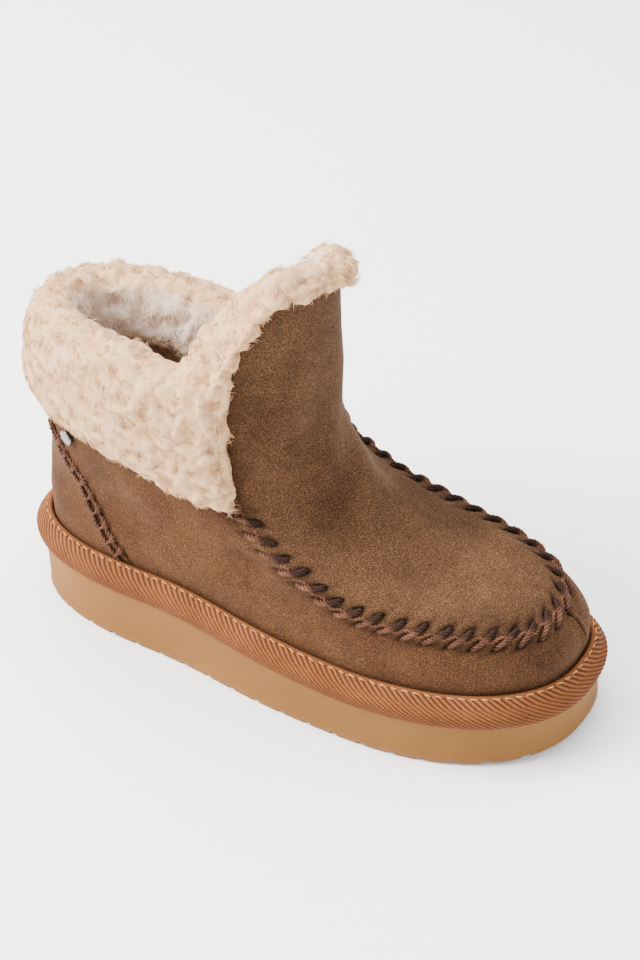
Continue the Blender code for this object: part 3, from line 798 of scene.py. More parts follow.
# Puts copies of shapes on points, with each point's turn, size and kind, and makes them one mesh
def instancerTree():
    tree = bpy.data.node_groups.new("copies on points", "GeometryNodeTree")
    sockets = (
        ("Points", "Geometry"), ("Shapes", "Collection"), ("Finish", "Material"),
        ("Smallest", "Float"), ("Largest", "Float"), ("Seed", "Int"),
    )
    for name, kind in sockets:
        tree.interface.new_socket(name, in_out="INPUT", socket_type="NodeSocket" + kind)
    tree.interface.new_socket("Copies", in_out="OUTPUT", socket_type="NodeSocketGeometry")
    given = tree.nodes.new("NodeGroupInput").outputs
    children = {"Collection": given["Shapes"], "Separate Children": True, "Reset Children": True}
    shapes = addNode(tree, "GeometryNodeCollectionInfo", children)
    turn, size, kind = (
        addNode(tree, "GeometryNodeInputNamedAttribute", {"Name": name}, data_type=values)
        for name, values in (("turn", "FLOAT_VECTOR"), ("size", "FLOAT_VECTOR"), ("kind", "INT"))
    )
    limits = {2: given["Smallest"], 3: given["Largest"], "Seed": given["Seed"]}
    vary = addNode(tree, "FunctionNodeRandomValue", limits, 1, data_type="FLOAT")
    scaled = addNode(tree, "ShaderNodeVectorMath", {0: size, "Scale": vary}, operation="SCALE")
    copies = addNode(tree, "GeometryNodeInstanceOnPoints", {
        "Points": given["Points"], "Instance": shapes, "Pick Instance": True, "Instance Index": kind,
        "Rotation": turn, "Scale": scaled,
    })
    solid = addNode(tree, "GeometryNodeRealizeInstances", {"Geometry": copies})
    finish = addNode(tree, "GeometryNodeSetMaterial", {"Geometry": solid, "Material": given["Finish"]})
    tree.links.new(finish, tree.nodes.new("NodeGroupOutput").inputs[0])
    return tree


copiesTree = instancerTree()


# Copies of the shapes as one plain mesh. Places holds positions, turns, sizes, kinds and, for hairs,
# shades.
def copiedMesh(name, shapes, places, material, vary):
    collection = bpy.data.collections.new(name + "Shapes")
    bpy.context.scene.collection.children.link(collection)
    models = []
    for i, mesh in enumerate(shapes):
        model = bpy.data.objects.new(f"{name}Shape{i:02d}", mesh)
        collection.objects.link(model)
        models.append(model)
    mesh = bpy.data.meshes.new(name)
    mesh.from_pydata(np.asarray(places["positions"]).tolist(), [], [])
    setValues(mesh, "turn", places["turns"], "FLOAT_VECTOR")
    setValues(mesh, "size", places["sizes"], "FLOAT_VECTOR")
    setValues(mesh, "kind", places["kinds"], "INT")
    if "shades" in places:
        setValues(mesh, "shade", places["shades"])
    holder = bpy.data.objects.new(name + "Points", mesh)
    bpy.context.scene.collection.objects.link(holder)
    modifier = holder.modifiers.new("copies", "NODES")
    modifier.node_group = copiesTree
    values = {"Shapes": collection, "Finish": material, **vary}
    for item in copiesTree.interface.items_tree:
        if item.in_out == "INPUT" and item.name in values:
            modifier[item.identifier] = values[item.name]
    bpy.context.view_layer.update()
    evaluated = holder.evaluated_get(bpy.context.evaluated_depsgraph_get())
    result = bpy.data.meshes.new_from_object(evaluated)
    holder.modifiers.clear()
    for item in models + [holder]:
        bpy.data.objects.remove(item)
    bpy.data.collections.remove(collection)
    result.shade_smooth()
    return result


# One whip stitch in its own frame: X across the seam to the apron, Y along it, Z outwards
def whipShape(name, lean):
    reach, slant = whip["reach"], whip["slant"]
    shoulder, edge, root = whip["top"] * 0.86, whip["top"] * 0.25, -whip["sink"]
    rows = (
        (-reach, slant * lean, root), (-reach * 0.93, slant * 0.9 * lean, edge),
        (-reach * 0.45, slant * 0.42, shoulder), (0.0, 0.0, whip["top"]),
        (reach * 0.45, -slant * 0.42, shoulder), (reach * 0.93, -slant * 0.9 * lean, edge),
        (reach, -slant * lean, root),
    )
    path = smoothRows(rows, 4)
    hint = unit(np.array([slant, reach, 0.0]))
    vertices, faces = mergeShapes(cordShapes(path, hint, whip["cord"], lean * 3))
    mesh = meshFrom(name, vertices, faces)
    share = vertices[:, 0] / reach
    # Painted shade: darker over the half towards the apron and at the far end, where the cord goes into the
    # suede
    sunken = 0.95 * smoothStep((share - 0.05) / 0.5) + 0.6 * smoothStep((-share - 0.7) / 0.3)
    setValues(mesh, "sunken", sunken)
    return mesh


def routeAt(seam, along, key):
    values = np.stack([np.interp(along, seam["along"], seam[key][:, axis]) for axis in range(3)], axis=1)
    return values if key == "centre" else unit(values)


def makeWhipStitches():
    rng = np.random.default_rng(4)
    centre = routeAt(apron, whipPlaces, "centre")
    forward = routeAt(apron, whipPlaces, "forward")
    normal = routeAt(apron, whipPlaces, "normal")
    side = unit(np.cross(normal, forward))
    side = unit(side + forward * rng.uniform(-0.12, 0.12, whipCount)[:, None])
    places = {
        "positions": centre,
        "turns": turnsOf(side, np.cross(normal, side), normal),
        "sizes": np.column_stack([rng.uniform(0.94, 1.08, whipCount) for _ in range(3)]),
        "kinds": rng.integers(0, 3, whipCount),
    }
    shapes = [whipShape(f"whipShape{i}", lean) for i, lean in enumerate((0.9, 1.0, 1.12))]
    mesh = copiedMesh("whipStitches", shapes, places, thread, {"Smallest": 0.97, "Largest": 1.05, "Seed": 5})
    addPiece("whipStitches", mesh, thread, ("apron_seam",))
    swing = np.sin(2 * math.pi * apron["along"] / (whipPlaces[1] - whipPlaces[0]))
    path = apron["centre"] + apron["normal"] * (upperSizes["ridgeHeight"] + 0.0002)
    path = path + apron["side"] * (swing * 0.0008)[:, None]
    shapes = cordShapes(path, apron["normal"], whip["running"])
    vertices, faces = mergeShapes(shapes + knotShapes(0) + knotShapes(-1))
    addPiece("runningCord", meshFrom("runningCord", vertices, faces), thread)


# The cord's end: a small loop and a knot, at the first or the last sample of the seam
def knotShapes(end):
    loop = whip["loop"]
    forward = apron["forward"][end] * (1 if end == 0 else -1)
    side = apron["side"][end]
    normal = apron["normal"][end]
    centre = apron["centre"][end] + normal * loop["lift"]
    turns = np.linspace(-0.6, 2 * math.pi * 0.82, loop["samples"])
    ring = np.cos(turns)[:, None] * forward + np.sin(turns)[:, None] * side * 0.8
    bow = centre - forward * loop["back"] + loop["radius"] * ring
    bow = bow + normal * (loop["rise"] * np.sin(turns / 2 + 0.3))[:, None]
    turns = np.linspace(0.0, 4 * math.pi, loop["samples"])
    wrap = centre + loop["coil"] * (np.cos(turns)[:, None] * side + np.sin(turns)[:, None] * normal)
    wrap = wrap + forward * np.linspace(-0.0012, 0.0016, loop["samples"])[:, None]
    return cordShapes(bow, normal, whip["knot"]) + cordShapes(wrap, forward, whip["running"])


makeWhipStitches()

lace = {
    "railGap": 0.0027,
    "rungPitch": 0.0072,
    "lift": 0.0007,
    "rail": {"plies": 2, "spread": 0.00055, "radius": 0.00056, "lay": 0.0036, "sides": 6, "flat": 1.0},
    "rung": {"plies": 2, "spread": 0.0004, "radius": 0.00045, "lay": 0.003, "sides": 6, "flat": 1.0},
    "knot": {"plies": 2, "spread": 0.00055, "radius": 0.0005, "lay": 0.002, "sides": 6, "flat": 1.0},
    "wave": 0.0004,
    "jitter": 0.0006,
    "knotPlace": (0.0036, 0.0012, 0.0007),
    "knotRadius": 0.0008,
}
# A rung's places: across the seam, above the suede and along the seam
rungRows = (
    (-0.0036, -0.0008, -0.0004), (-0.0026, 0.0014, -0.0002), (0.0, 0.0012, 0.0002),
    (0.0027, 0.0019, 0.0006), (0.0042, 0.0006, 0.0009), (0.0046, -0.0010, 0.0010),
)


# Two laced rails up each side of the heel, with rungs that end in small knots on the toe side
def makeLadder(name, ladder, toeSide, node):
    rng = np.random.default_rng(9)
    shapes = []
    for side in (-1.0, 1.0):
        wave = lace["wave"] * np.sin(ladder["along"] / lace["rungPitch"] * 2 * math.pi + side)
        across = side * lace["railGap"] + wave
        path = ladder["centre"] + ladder["side"] * across[:, None] + ladder["normal"] * lace["lift"]
        shapes += cordShapes(path, ladder["normal"], lace["rail"])
    count = int(ladder["along"][-1] / lace["rungPitch"])
    for i in range(count):
        along = (i + 0.6) * lace["rungPitch"] + rng.uniform(-lace["jitter"], lace["jitter"])
        sample = int(np.argmin(np.abs(ladder["along"] - along)))
        centre, side = ladder["centre"][sample], ladder["side"][sample] * toeSide
        forward, normal = ladder["forward"][sample], ladder["normal"][sample]
        rows = [centre + side * across + normal * lift + forward * fall for across, lift, fall in rungRows]
        shapes += cordShapes(smoothRows(rows, 4), forward, lace["rung"])
        turns = np.linspace(0.0, 3 * math.pi, 20)
        across, lift, fall = lace["knotPlace"]
        radius = lace["knotRadius"]
        knot = centre + side * across + normal * lift + forward * fall
        coil = knot + radius * (np.cos(turns)[:, None] * forward + np.sin(turns)[:, None] * normal)
        coil = coil + side * np.linspace(-radius, radius, len(turns))[:, None]
        shapes += cordShapes(coil, side, lace["knot"])
    vertices, faces = mergeShapes(shapes)
    addPiece(name, meshFrom(name, vertices, faces), thread, (node,))


makeLadder("ladderStitchesOuter", ladders["outer"], -1.0, "ladder_seam_outer")
makeLadder("ladderStitchesInner", ladders["inner"], 1.0, "ladder_seam_inner")
print("stitches ready")

tape = {
    "columns": 1040,
    "outerRows": 40,
    "bulge": 0.0022,
    "ribs": 208,
    "relief": 0.00046,
    "slope": 1.05,
    "lowSlope": 0.55,
    "bandStart": 0.915,
    "dashShare": 0.905,
    "dashes": 128,
    "dashLength": 0.0027,
    "dashTurn": 0.16,
    "lowShare": 0.42,
    "crossRibs": 1.6,
    "crossTurn": 0.8,
    "crossDepth": 0.28,
    "edgeShare": 0.955,
    "edgeLoops": 1.5,
}
# Section of the bound edge: inwards as a share of the seat, outwards of the bulge, up of the height
tapeSection = (
    (0.45, 0.0, 0.0), (0.0, 0.62, 0.02), (0.0, 0.98, 0.20), (0.0, 0.95, 0.48), (0.08, 0.0, 0.76),
    (0.42, 0.0, 0.95), (0.80, 0.0, 1.0), (1.0, 0.0, 0.96), (1.0, 0.0, 0.0),
)


def tapePoint(angles, row):
    seat, bulge, height = row
    inset = seat * (boot["tapeSeat"] - boot["clearance"]) - bulge * tape["bulge"]
    return outlineRing(angles, inset, boot["clearance"] + height * (boot["tapeHeight"] - boot["clearance"]))


# Angles evenly spaced along the sole's outline
def evenAngles(count):
    fine = np.linspace(0.0, 2 * math.pi, 3601)
    ring = outlineRing(fine, 0.0, 0.0)
    lengths = runLengths(ring)
    return np.interp(np.arange(count) / count * lengths[-1], lengths, fine), lengths[-1]


def makeTape():
    angles, girth = evenAngles(tape["columns"])
    outer = smoothRows(tapeSection[1:7], tape["outerRows"] // 5)
    rows = np.concatenate([[tapeSection[0]], outer, tapeSection[7:]])
    grid = np.array([tapePoint(angles, row) for row in rows])
    normals = -gridNormals(grid)[0]
    steps = np.linalg.norm(np.diff(grid, axis=0), axis=2).mean(axis=1)
    climb = np.concatenate([[0.0], np.cumsum(steps)])
    share = np.clip((climb - climb[1]) / (climb[-3] - climb[1]), 0.0, 1.0)[:, None]
    climb = climb[:, None]
    along = (np.arange(tape["columns"]) / tape["columns"] * girth)[None, :]
    low = np.maximum(climb.max() * tape["lowShare"] - climb, 0.0)
    slide = climb * tape["slope"] - low * tape["lowSlope"]
    wave = 0.5 + 0.5 * np.cos(2 * math.pi * (along + slide) / girth * tape["ribs"])
    crossAlong = along - tape["crossTurn"] * climb
    cross = 0.5 + 0.5 * np.cos(2 * math.pi * crossAlong / girth * tape["ribs"] * tape["crossRibs"])
    wave = wave - tape["crossDepth"] * cross * smoothStep((0.5 - share) / 0.25) * wave
    onFace = smoothStep((share - 0.02) / 0.03) * smoothStep((tape["bandStart"] - share) / 0.02)
    edge = bell(share - tape["edgeShare"], 0.02)
    loopTurns = 2 * math.pi * along / girth * tape["ribs"] * tape["edgeLoops"] + share * 90.0
    loops = 0.5 + 0.5 * np.cos(loopTurns)
    relief = onFace * wave + (1 - onFace) * (0.26 + 0.35 * edge + 0.3 * loops * (share > 0.5))
    relief[[0, -1, -2]] = 0.0
    vertices = (grid + normals * (relief * tape["relief"])[:, :, None]).reshape(-1, 3)
    faces = gridFaces(len(rows), tape["columns"], joinRows=True)
    mesh = meshFrom("tapeBinding", vertices, outwardFaces(vertices, faces))
    # The relief as colour, for the painted light on the ribs and painted shade in the valleys
    setValues(mesh, "rib", relief)
    addPiece("tapeBinding", mesh, twill, ("rand_tape",))
    makeTapeStitches()


# A row of short light stitches near the tape's upper edge
def makeTapeStitches():
    angles, _ = evenAngles(tape["dashes"])
    outer = smoothRows(tapeSection[1:7], 20)
    rise = np.array([tapePoint(angles[:1], row)[0] for row in outer])
    climb = runLengths(rise)
    middle = int(np.argmin(np.abs(climb / climb[-1] - tape["dashShare"])))
    row, lower = outer[middle], outer[middle - 3]
    centre = tapePoint(angles, row)
    forward = unit(np.roll(centre, -1, axis=0) - np.roll(centre, 1, axis=0))
    upward = unit(centre - tapePoint(angles, lower))
    normal = unit(np.cross(forward, upward))
    rng = np.random.default_rng(11)
    count = len(angles)
    half = tape["dashLength"] / 2
    sunk = -0.0004
    path = smoothRows(((-half, 0, sunk), (-half * 0.7, 0, 0.0), (half * 0.7, 0, 0.0), (half, 0, sunk)), 2)
    shape = meshFrom("dashShape", *tubeShape(path, 0.00022, 6, np.array([0.0, 1.0, 0.0])))
    turned = unit(forward - upward * (tape["dashTurn"] + rng.uniform(-0.1, 0.1, count))[:, None])
    places = {
        "positions": centre + normal * tape["relief"] * 0.8,
        "turns": turnsOf(turned, np.cross(normal, turned), normal),
        "sizes": np.ones((count, 3)),
        "kinds": np.zeros(count),
    }
    vary = {"Smallest": 0.9, "Largest": 1.1, "Seed": 3}
    mesh = copiedMesh("tapeStitches", [shape], places, lightThread, vary)
    addPiece("tapeStitches", mesh, lightThread)


makeTape()
print("tape ready")

sole = {
    "lugPitch": 0.0136,
    "grooveWidth": 0.003,
    "grooveDepth": 0.002,
    "chamfer": 0.0004,
    "edgeRounding": 0.0012,
    "perLug": 5,
    "wallRows": 14,
    "treadColumns": 12,
    "waist": 0.0006,
    "unevenness": 0.00018,
    "lastRow": 0.955,
    "endStations": 12,
    "sharpDegrees": 40,
}


# Distances along the sole that the tread's mesh needs: every groove edge and some between
def treadStations():
    length = boot["soleLength"]
    count = int((length - sole["lugPitch"]) // sole["lugPitch"])
    first = (length - (count - 1) * sole["lugPitch"]) / 2
    half = sole["grooveWidth"] / 2
    stations = []
    for i in range(count):
        middle = first + i * sole["lugPitch"]
        front, back = middle - half, middle + half
        stations += [front - sole["chamfer"], front, back, back + sole["chamfer"]]
        stations += list(np.linspace(back, front + sole["lugPitch"], sole["perLug"] + 2)[1:-1])
    stations = [s for s in stations if s < length - first + half + 2 * sole["chamfer"]]
    shares = np.linspace(0.0, 1.0, sole["endStations"])[1:-1] ** 2
    ends = list(shares * (first - half - 2 * sole["chamfer"]))
    stations += ends + [length - s for s in ends]
    return np.unique(np.round(stations, 6)), first


def grooveLift(along, first):
    phase = (along - first) / sole["lugPitch"]
    distance = np.abs(phase - np.round(phase)) * sole["lugPitch"]
    inside = (np.round(phase) >= 0) & (along < boot["soleLength"] - first + sole["grooveWidth"])
    depth = np.clip((sole["grooveWidth"] / 2 + sole["chamfer"] - distance) / sole["chamfer"], 0.0, 1.0)
    return np.where(inside, depth, 0.0) * sole["grooveDepth"]


def makeSole():
    stations, first = treadStations()
    half = np.linspace(0.0, math.pi, 4001)
    _, fineAlong = planRing(solePlan, half)
    outerAngles = np.interp(stations, fineAlong, half)
    angles = np.concatenate([[0.0], outerAngles, [math.pi], (2 * math.pi - outerAngles)[::-1]])
    count = len(angles)
    lift = grooveLift(planRing(solePlan, angles)[1], first)
    rings = []
    rounding = sole["edgeRounding"]
    for inset, height in ((rounding, 0.0), (rounding * 0.3, rounding * 0.3)):
        x, along = planRing(solePlan, angles, inset)
        rings.append(toWorld(x, along, bottomHeight(along) + np.maximum(lift, height)))
    for share in np.append(np.linspace(0.0, sole["lastRow"], sole["wallRows"] - 1), 1.0):
        x, along = planRing(solePlan, angles, sole["waist"] * math.sin(math.pi * share))
        bottom = bottomHeight(along) + np.maximum(rounding, lift)
        rings.append(toWorld(x, along, bottom + (deckHeight(along) - bottom) * share))
    rings.append(outlineRing(angles, boot["tapeSeat"], 0.0))
    rings.append(outlineRing(angles, boot["tapeSeat"], boot["coreHeight"]))
    grid = np.array(rings)
    wallEnd = 2 + sole["wallRows"]
    wall = grid[2:wallEnd].reshape(-1, 3)
    outward = unit((wall - wall.mean(axis=0)) * np.array([1.0, 0.25, 0.0]))
    uneven = noiseAt(wall, 60.0, 2.0) + 0.5 * noiseAt(wall, 240.0, 5.0)
    wall = wall + outward * (uneven * sole["unevenness"])[:, None]
    grid[2:wallEnd] = wall.reshape(-1, count, 3)
    vertices = [grid.reshape(-1, 3)]
    faces = [tuple(face) for face in gridFaces(len(grid), count)]
    total = len(grid) * count
    # The tread and the top: strips across the foot between the two sides' matching ribs
    for base, flip in ((0, False), ((len(grid) - 1) * count, True)):
        ring = grid[-1] if flip else grid[0]
        shares = np.linspace(0.0, 1.0, sole["treadColumns"] + 1)[1:-1]
        columns = []
        for j in range(1, count // 2):
            outerPoint, innerPoint = ring[j], ring[count - j]
            columns.append(outerPoint + (innerPoint - outerPoint) * shares[:, None])
        strips = np.array(columns)
        vertices.append(strips.reshape(-1, 3))
        size = len(shares)

        def place(j, k):
            if k == 0:
                return base + j
            if k == size + 1:
                return base + count - j
            return total + (j - 1) * size + k - 1

        for j in range(1, count // 2 - 1):
            for k in range(size + 1):
                face = (place(j, k), place(j, k + 1), place(j + 1, k + 1), place(j + 1, k))
                faces.append(face[::-1] if flip else face)
        for j, pole in ((1, base), (count // 2 - 1, base + count // 2)):
            for k in range(size + 1):
                face = (place(j, k), place(j, k + 1), pole)
                faces.append(face if (j == 1) == flip else face[::-1])
        total += len(strips) * size
    mesh = meshFrom("soleFoam", np.concatenate(vertices), faces)
    seat = np.zeros(len(mesh.vertices))
    seat[(wallEnd - 1) * count:wallEnd * count] = 1.0
    setValues(mesh, "seat", seat)
    mesh.set_sharp_from_angle(angle=math.radians(sole["sharpDegrees"]))
    addPiece("soleFoam", mesh, foam, ("outsole",))


makeSole()
print("sole ready")

cuff = {
    "pile": 0.0084,
    "trimPile": 0.0050,
    "trimFlat": 0.25,
    "trimShift": 0.0020,
    "flapEnd": 110.5,
    "lean": 6.0,
    "backFill": 0.015,
    "innerPile": 0.0125,
    "flapDrop": 0.062,
    "trimDrop": 0.0045,
    "innerLeg": 0.026,
    "flapLift": 0.0016,
    "edgeGap": 0.0012,
    "trimStep": 6.0,
    "ragged": 0.0030,
    "lumps": 0.0011,
    "blobs": 0.0023,
    "blobScale": 200.0,
    "streaks": 0.0004,
    "drift": 0.0020,
    "mouthFill": 0.45,
    "ribs": 420,
    "perRing": 8,
    "notchFill": (117.0, 15.0),
    "outerFill": (112.0, 26.0),
    "innerFill": (250.0, 26.0),
}
# Drop of the flap, as shares by angle in degrees
flapDrops = ((0, 0.65), (45, 0.66), (66, 0.71), (80, 0.80), (92, 0.865), (104, 0.88), (115, 0.87))


def trimShare(angles):
    return smoothStep((angleFromHeel(angles) - cuff["flapEnd"]) / cuff["trimStep"])


def flapLengths(angles):
    fromHeel = angleFromHeel(angles)
    shares = np.interp(fromHeel, [row[0] for row in flapDrops], [row[1] for row in flapDrops])
    trim = trimShare(angles)
    return shares * cuff["flapDrop"] * (1 - trim) + cuff["trimDrop"] * trim


# Angles of a row that lies a share of the way down the flap: its front edges lean towards the toe
def leaning(angles, share):
    fromHeel = angleFromHeel(angles)
    side = np.where(np.sin(angles) > 0, 1.0, -1.0)
    return angles + side * np.radians(cuff["lean"]) * share * bell(fromHeel - cuff["flapEnd"], 16.0)


def cuffRing(angles, distances, offsets):
    levels = levelBelowCollar(angles, np.maximum(distances, 0.0))
    normals, upRib = upperFrame(angles, levels)
    overEdge = np.maximum(-distances, 0.0)
    points = upperPoints(angles, levels) + normals * np.broadcast_to(offsets, len(angles))[:, None]
    return points + upRib * overEdge[:, None]


# The cuff's ribs are closer together where the flap ends
def cuffDensity(fine):
    outerGap = fine - flapEnds["outer"] - 3
    innerGap = fine - 360 + flapEnds["inner"] + 3
    return 1 + 3.5 * bell(outerGap, 7.0) + 3.5 * bell(innerGap, 7.0)


# The cuff's skin: the covered side, then the pile side from the inside over the top to the flap's edge
def cuffGrid():
    angles = np.radians(unevenAngles(cuff["ribs"], cuffDensity))
    flat = np.ones(len(angles))
    trim = trimShare(angles)
    edge = noiseAt(np.column_stack([np.cos(angles), np.sin(angles), flat]), 9.0, 4.0)
    legs = flapLengths(angles) + cuff["ragged"] * edge
    notch = hump(angleFromHeel(angles), *cuff["notchFill"]) * np.where(np.sin(angles) > 0, 1.0, 0.5)
    gap = boot["clearance"] * 1.3
    inside = -(boot["wall"] + cuff["edgeGap"])
    middle = -boot["wall"] / 2 - cuff["trimShift"] * trim
    pile = cuff["pile"] * (1 - trim) + cuff["trimPile"] * trim
    over = gap + pile - cuff["trimShift"] * trim
    covered = []
    for share in (0.93, 0.7, 0.45, 0.2):
        lift = gap + cuff["flapLift"] * np.clip(legs * share / cuff["flapDrop"] * 2.0, 0.0, 1.0)
        covered.append(cuffRing(leaning(angles, share), legs * share, lift))
    covered.append(cuffRing(angles, flat * -cuff["edgeGap"], flat * gap))
    covered.append(cuffRing(angles, flat * -cuff["edgeGap"], flat * inside))
    covered.append(cuffRing(angles, flat * cuff["innerLeg"] / 2, flat * inside))
    covered.append(cuffRing(angles, flat * cuff["innerLeg"], flat * inside))
    rings = [covered[-1]]
    degrees = np.degrees(angles)
    fill = hump(degrees, *cuff["outerFill"]) + 0.6 * hump(degrees, *cuff["innerFill"])
    for share, depth in ((1.05, 0.45), (0.75, 0.9), (0.35, 0.85)):
        innerDepth = cuff["innerPile"] * depth * (1 + cuff["mouthFill"] * fill)
        rings.append(cuffRing(angles, flat * cuff["innerLeg"] * share, inside - innerDepth))
        rings[-1][:, 1] += notch * cuff["backFill"] * (1.15 - share)
    for turn in (150, 115, 80, 45, 15):
        radius = pile * 1.02
        up = -gap - radius * (1 - cuff["trimFlat"] * trim) * math.sin(math.radians(turn))
        rings.append(cuffRing(angles, up, middle + radius * 1.06 * math.cos(math.radians(turn))))
        rings[-1][:, 1] += notch * cuff["backFill"] * smoothStep((turn + 10.0) / 140.0)
    for share, depth in ((0.2, 1.0), (0.42, 1.05), (0.64, 1.02), (0.86, 0.9), (1.0, 0.5)):
        rings.append(cuffRing(leaning(angles, share), legs * share, over * depth + cuff["flapLift"]))
    rings.append(covered[0])
    pileSide = smoothRows(np.array(rings).reshape(len(rings), -1), cuff["perRing"])
    pileSide = pileSide.reshape(len(pileSide), -1, 3)
    return angles, np.array(covered[1:-1]), pileSide


cuffRibs, coveredRows, pileRows = cuffGrid()
pileNormals, pileGrain = gridNormals(pileRows)
if np.mean(pileNormals[len(pileRows) // 2, :, 2]) < 0:
    pileNormals = -pileNormals


# Lumps of the fleece at three scales
def fleeceLumps(points, seed):
    broad = 0.6 * noiseAt(points, 95.0, seed) + 0.5 * noiseAt(points, 210.0, seed + 3)
    return broad + 0.25 * noiseAt(points, 480.0, seed)


# Rounded tufts of curly wool, one in each cell of a scattered pattern
def fleeceBlobs(points, scale):
    heights = []
    for point in points:
        distances, _ = noise.voronoi(Vector(point) * scale)
        heights.append(max(1.0 - (distances[0] / 0.75) ** 2, 0.12))
    return np.array(heights)


# Streaks of brushed wool: fine across the grain, long down it
def fleeceStreaks(grid):
    down = np.cumsum(np.linalg.norm(np.diff(grid, axis=0, prepend=grid[:1]), axis=2), axis=0)
    middle = grid[len(grid) // 2]
    around = np.cumsum(np.linalg.norm(np.diff(middle, axis=0, prepend=middle[:1]), axis=1))
    across = np.broadcast_to(around, down.shape)
    bent = across + 0.002 * np.sin(down / 0.021 + across / 0.013)
    place = np.column_stack([bent.ravel() / 0.0017, down.ravel() / 0.011, np.zeros(down.size)])
    return noiseAt(place, 1.0, 5.0) + 0.5 * noiseAt(place, 2.1, 9.0)


# Where the pile is brushed, where it is curly, and where it lies inside the boot
ribDegrees = np.broadcast_to(angleFromHeel(cuffRibs)[None, :], pileRows.shape[:2])
rowIndex = np.broadcast_to(np.arange(len(pileRows))[:, None] / cuff["perRing"], pileRows.shape[:2])
ends = smoothStep(rowIndex / 1.2) * smoothStep((14.0 - rowIndex) / 0.9)
outside = smoothStep((rowIndex - 7.0) / 2.0)
front = smoothStep((ribDegrees - 70.0) / 22.0)
brushed = (outside * (1 - front)).ravel()
insideRows = smoothStep((4.8 - rowIndex) / 1.2)

flatPile = pileRows.reshape(-1, 3)
curly = front.ravel() * outside.ravel()
blobs = fleeceBlobs(flatPile, cuff["blobScale"]) * (0.5 + 0.6 * curly - 0.3 * brushed)
streaks = fleeceStreaks(pileRows) * (0.3 + 0.7 * brushed)
lumps = fleeceLumps(flatPile, 1.0) * cuff["lumps"] + blobs * cuff["blobs"] + streaks * cuff["streaks"]
lumps = lumps * ends.ravel() * (1 - 0.55 * insideRows.ravel())
drift = np.array([noise.noise_vector(Vector(point) * 150.0) for point in flatPile]) * cuff["drift"]
drift = drift * (ends.ravel() * (0.35 + 0.65 * (1 - brushed)))[:, None]
lumpyPile = (flatPile + pileNormals.reshape(-1, 3) * lumps[:, None] + drift).reshape(pileRows.shape)
# Painted shade: the shade value rises and the tip value falls in the hollows between the lumps
pileShade = np.clip(0.45 + 0.30 * streaks - 0.25 * blobs, 0.0, 1.0)
# Tip values raised inside the mouth: painted light
pileTip = np.clip(0.45 + 0.2 * insideRows.ravel() + (lumps - 0.0006 * curly) / 0.0035, 0.0, 1.0)


def makeCuffBase():
    rows = np.concatenate([coveredRows, lumpyPile])
    vertices = rows.reshape(-1, 3)
    faces = gridFaces(len(rows), len(cuffRibs), joinRows=True)
    mesh = meshFrom("cuffFleece", vertices, outwardFaces(vertices, faces))
    covered = np.zeros(len(coveredRows) * len(cuffRibs))
    # Painted shade in the fleece's hollows, through the shade and tip values
    setValues(mesh, "shade", np.concatenate([covered, pileShade]))
    setValues(mesh, "tip", np.concatenate([covered, pileTip]))
    # Paler inside the mouth: painted light
    setValues(mesh, "inner", np.concatenate([covered, 0.65 * insideRows.ravel()]))
    addPiece("cuffFleece", mesh, fleece, ("fur_cuff",))


makeCuffBase()

hair = {"length": 0.0036, "width": 0.00017, "rings": 2, "sides": 3}


# One hair of wool in its own frame: it grows along Z and bends towards X
def hairShape(name, bend, curl, seed):
    rng = np.random.default_rng(seed)
    t = np.linspace(0.0, 1.0, hair["rings"] + 1)
    phase = rng.uniform(0.0, 2 * math.pi)
    swing = curl * hair["length"] * t
    x = bend * hair["length"] * t ** 2 + swing * (np.cos(phase + 4.5 * t) - math.cos(phase))
    y = swing * (np.sin(phase + 4.5 * t) - math.sin(phase))
    z = hair["length"] * t * (1 - 0.35 * abs(bend) * t)
    path = np.column_stack([x, y, z])
    radii = hair["width"] * (1 - 0.75 * t)
    vertices, faces = tubeShape(path, radii, hair["sides"], np.array([0.3, 0.9, 0.1]))
    mesh = meshFrom(name, vertices, faces)
    # Darker towards the root: painted shade
    setValues(mesh, "tip", np.repeat(0.45 + 0.55 * t, hair["sides"]))
    return mesh


# Roots spread over rows of a grid of points by area, with their frames
def rootsOn(grid, normals, grain, shades, weights, count, rng):
    nextRow, nextRib = grid[1:], np.roll(grid, -1, axis=1)
    down = nextRow - grid[:-1]
    across = nextRib[:-1] - grid[:-1]
    areas = np.linalg.norm(np.cross(down, across), axis=2) * weights[:-1]
    chosen = rng.choice(areas.size, count, p=(areas / areas.sum()).ravel())
    row, rib = np.divmod(chosen, grid.shape[1])
    u, v = rng.uniform(0.0, 1.0, (2, count, 1))
    positions = grid[row, rib] + down[row, rib] * u + across[row, rib] * v
    return positions, normals[row, rib], grain[row, rib], shades[row, rib]


# Hairs gather in tufts: each leans towards the middle of its tuft
def tuftLean(positions, normals, tuftCount, rng):
    middles = positions[rng.choice(len(positions), tuftCount, replace=False)]
    nearest, _ = nearestSamples(positions, middles)
    pull = middles[nearest] - positions
    pull = pull - normals * (pull * normals).sum(axis=1)[:, None]
    return pull, nearest


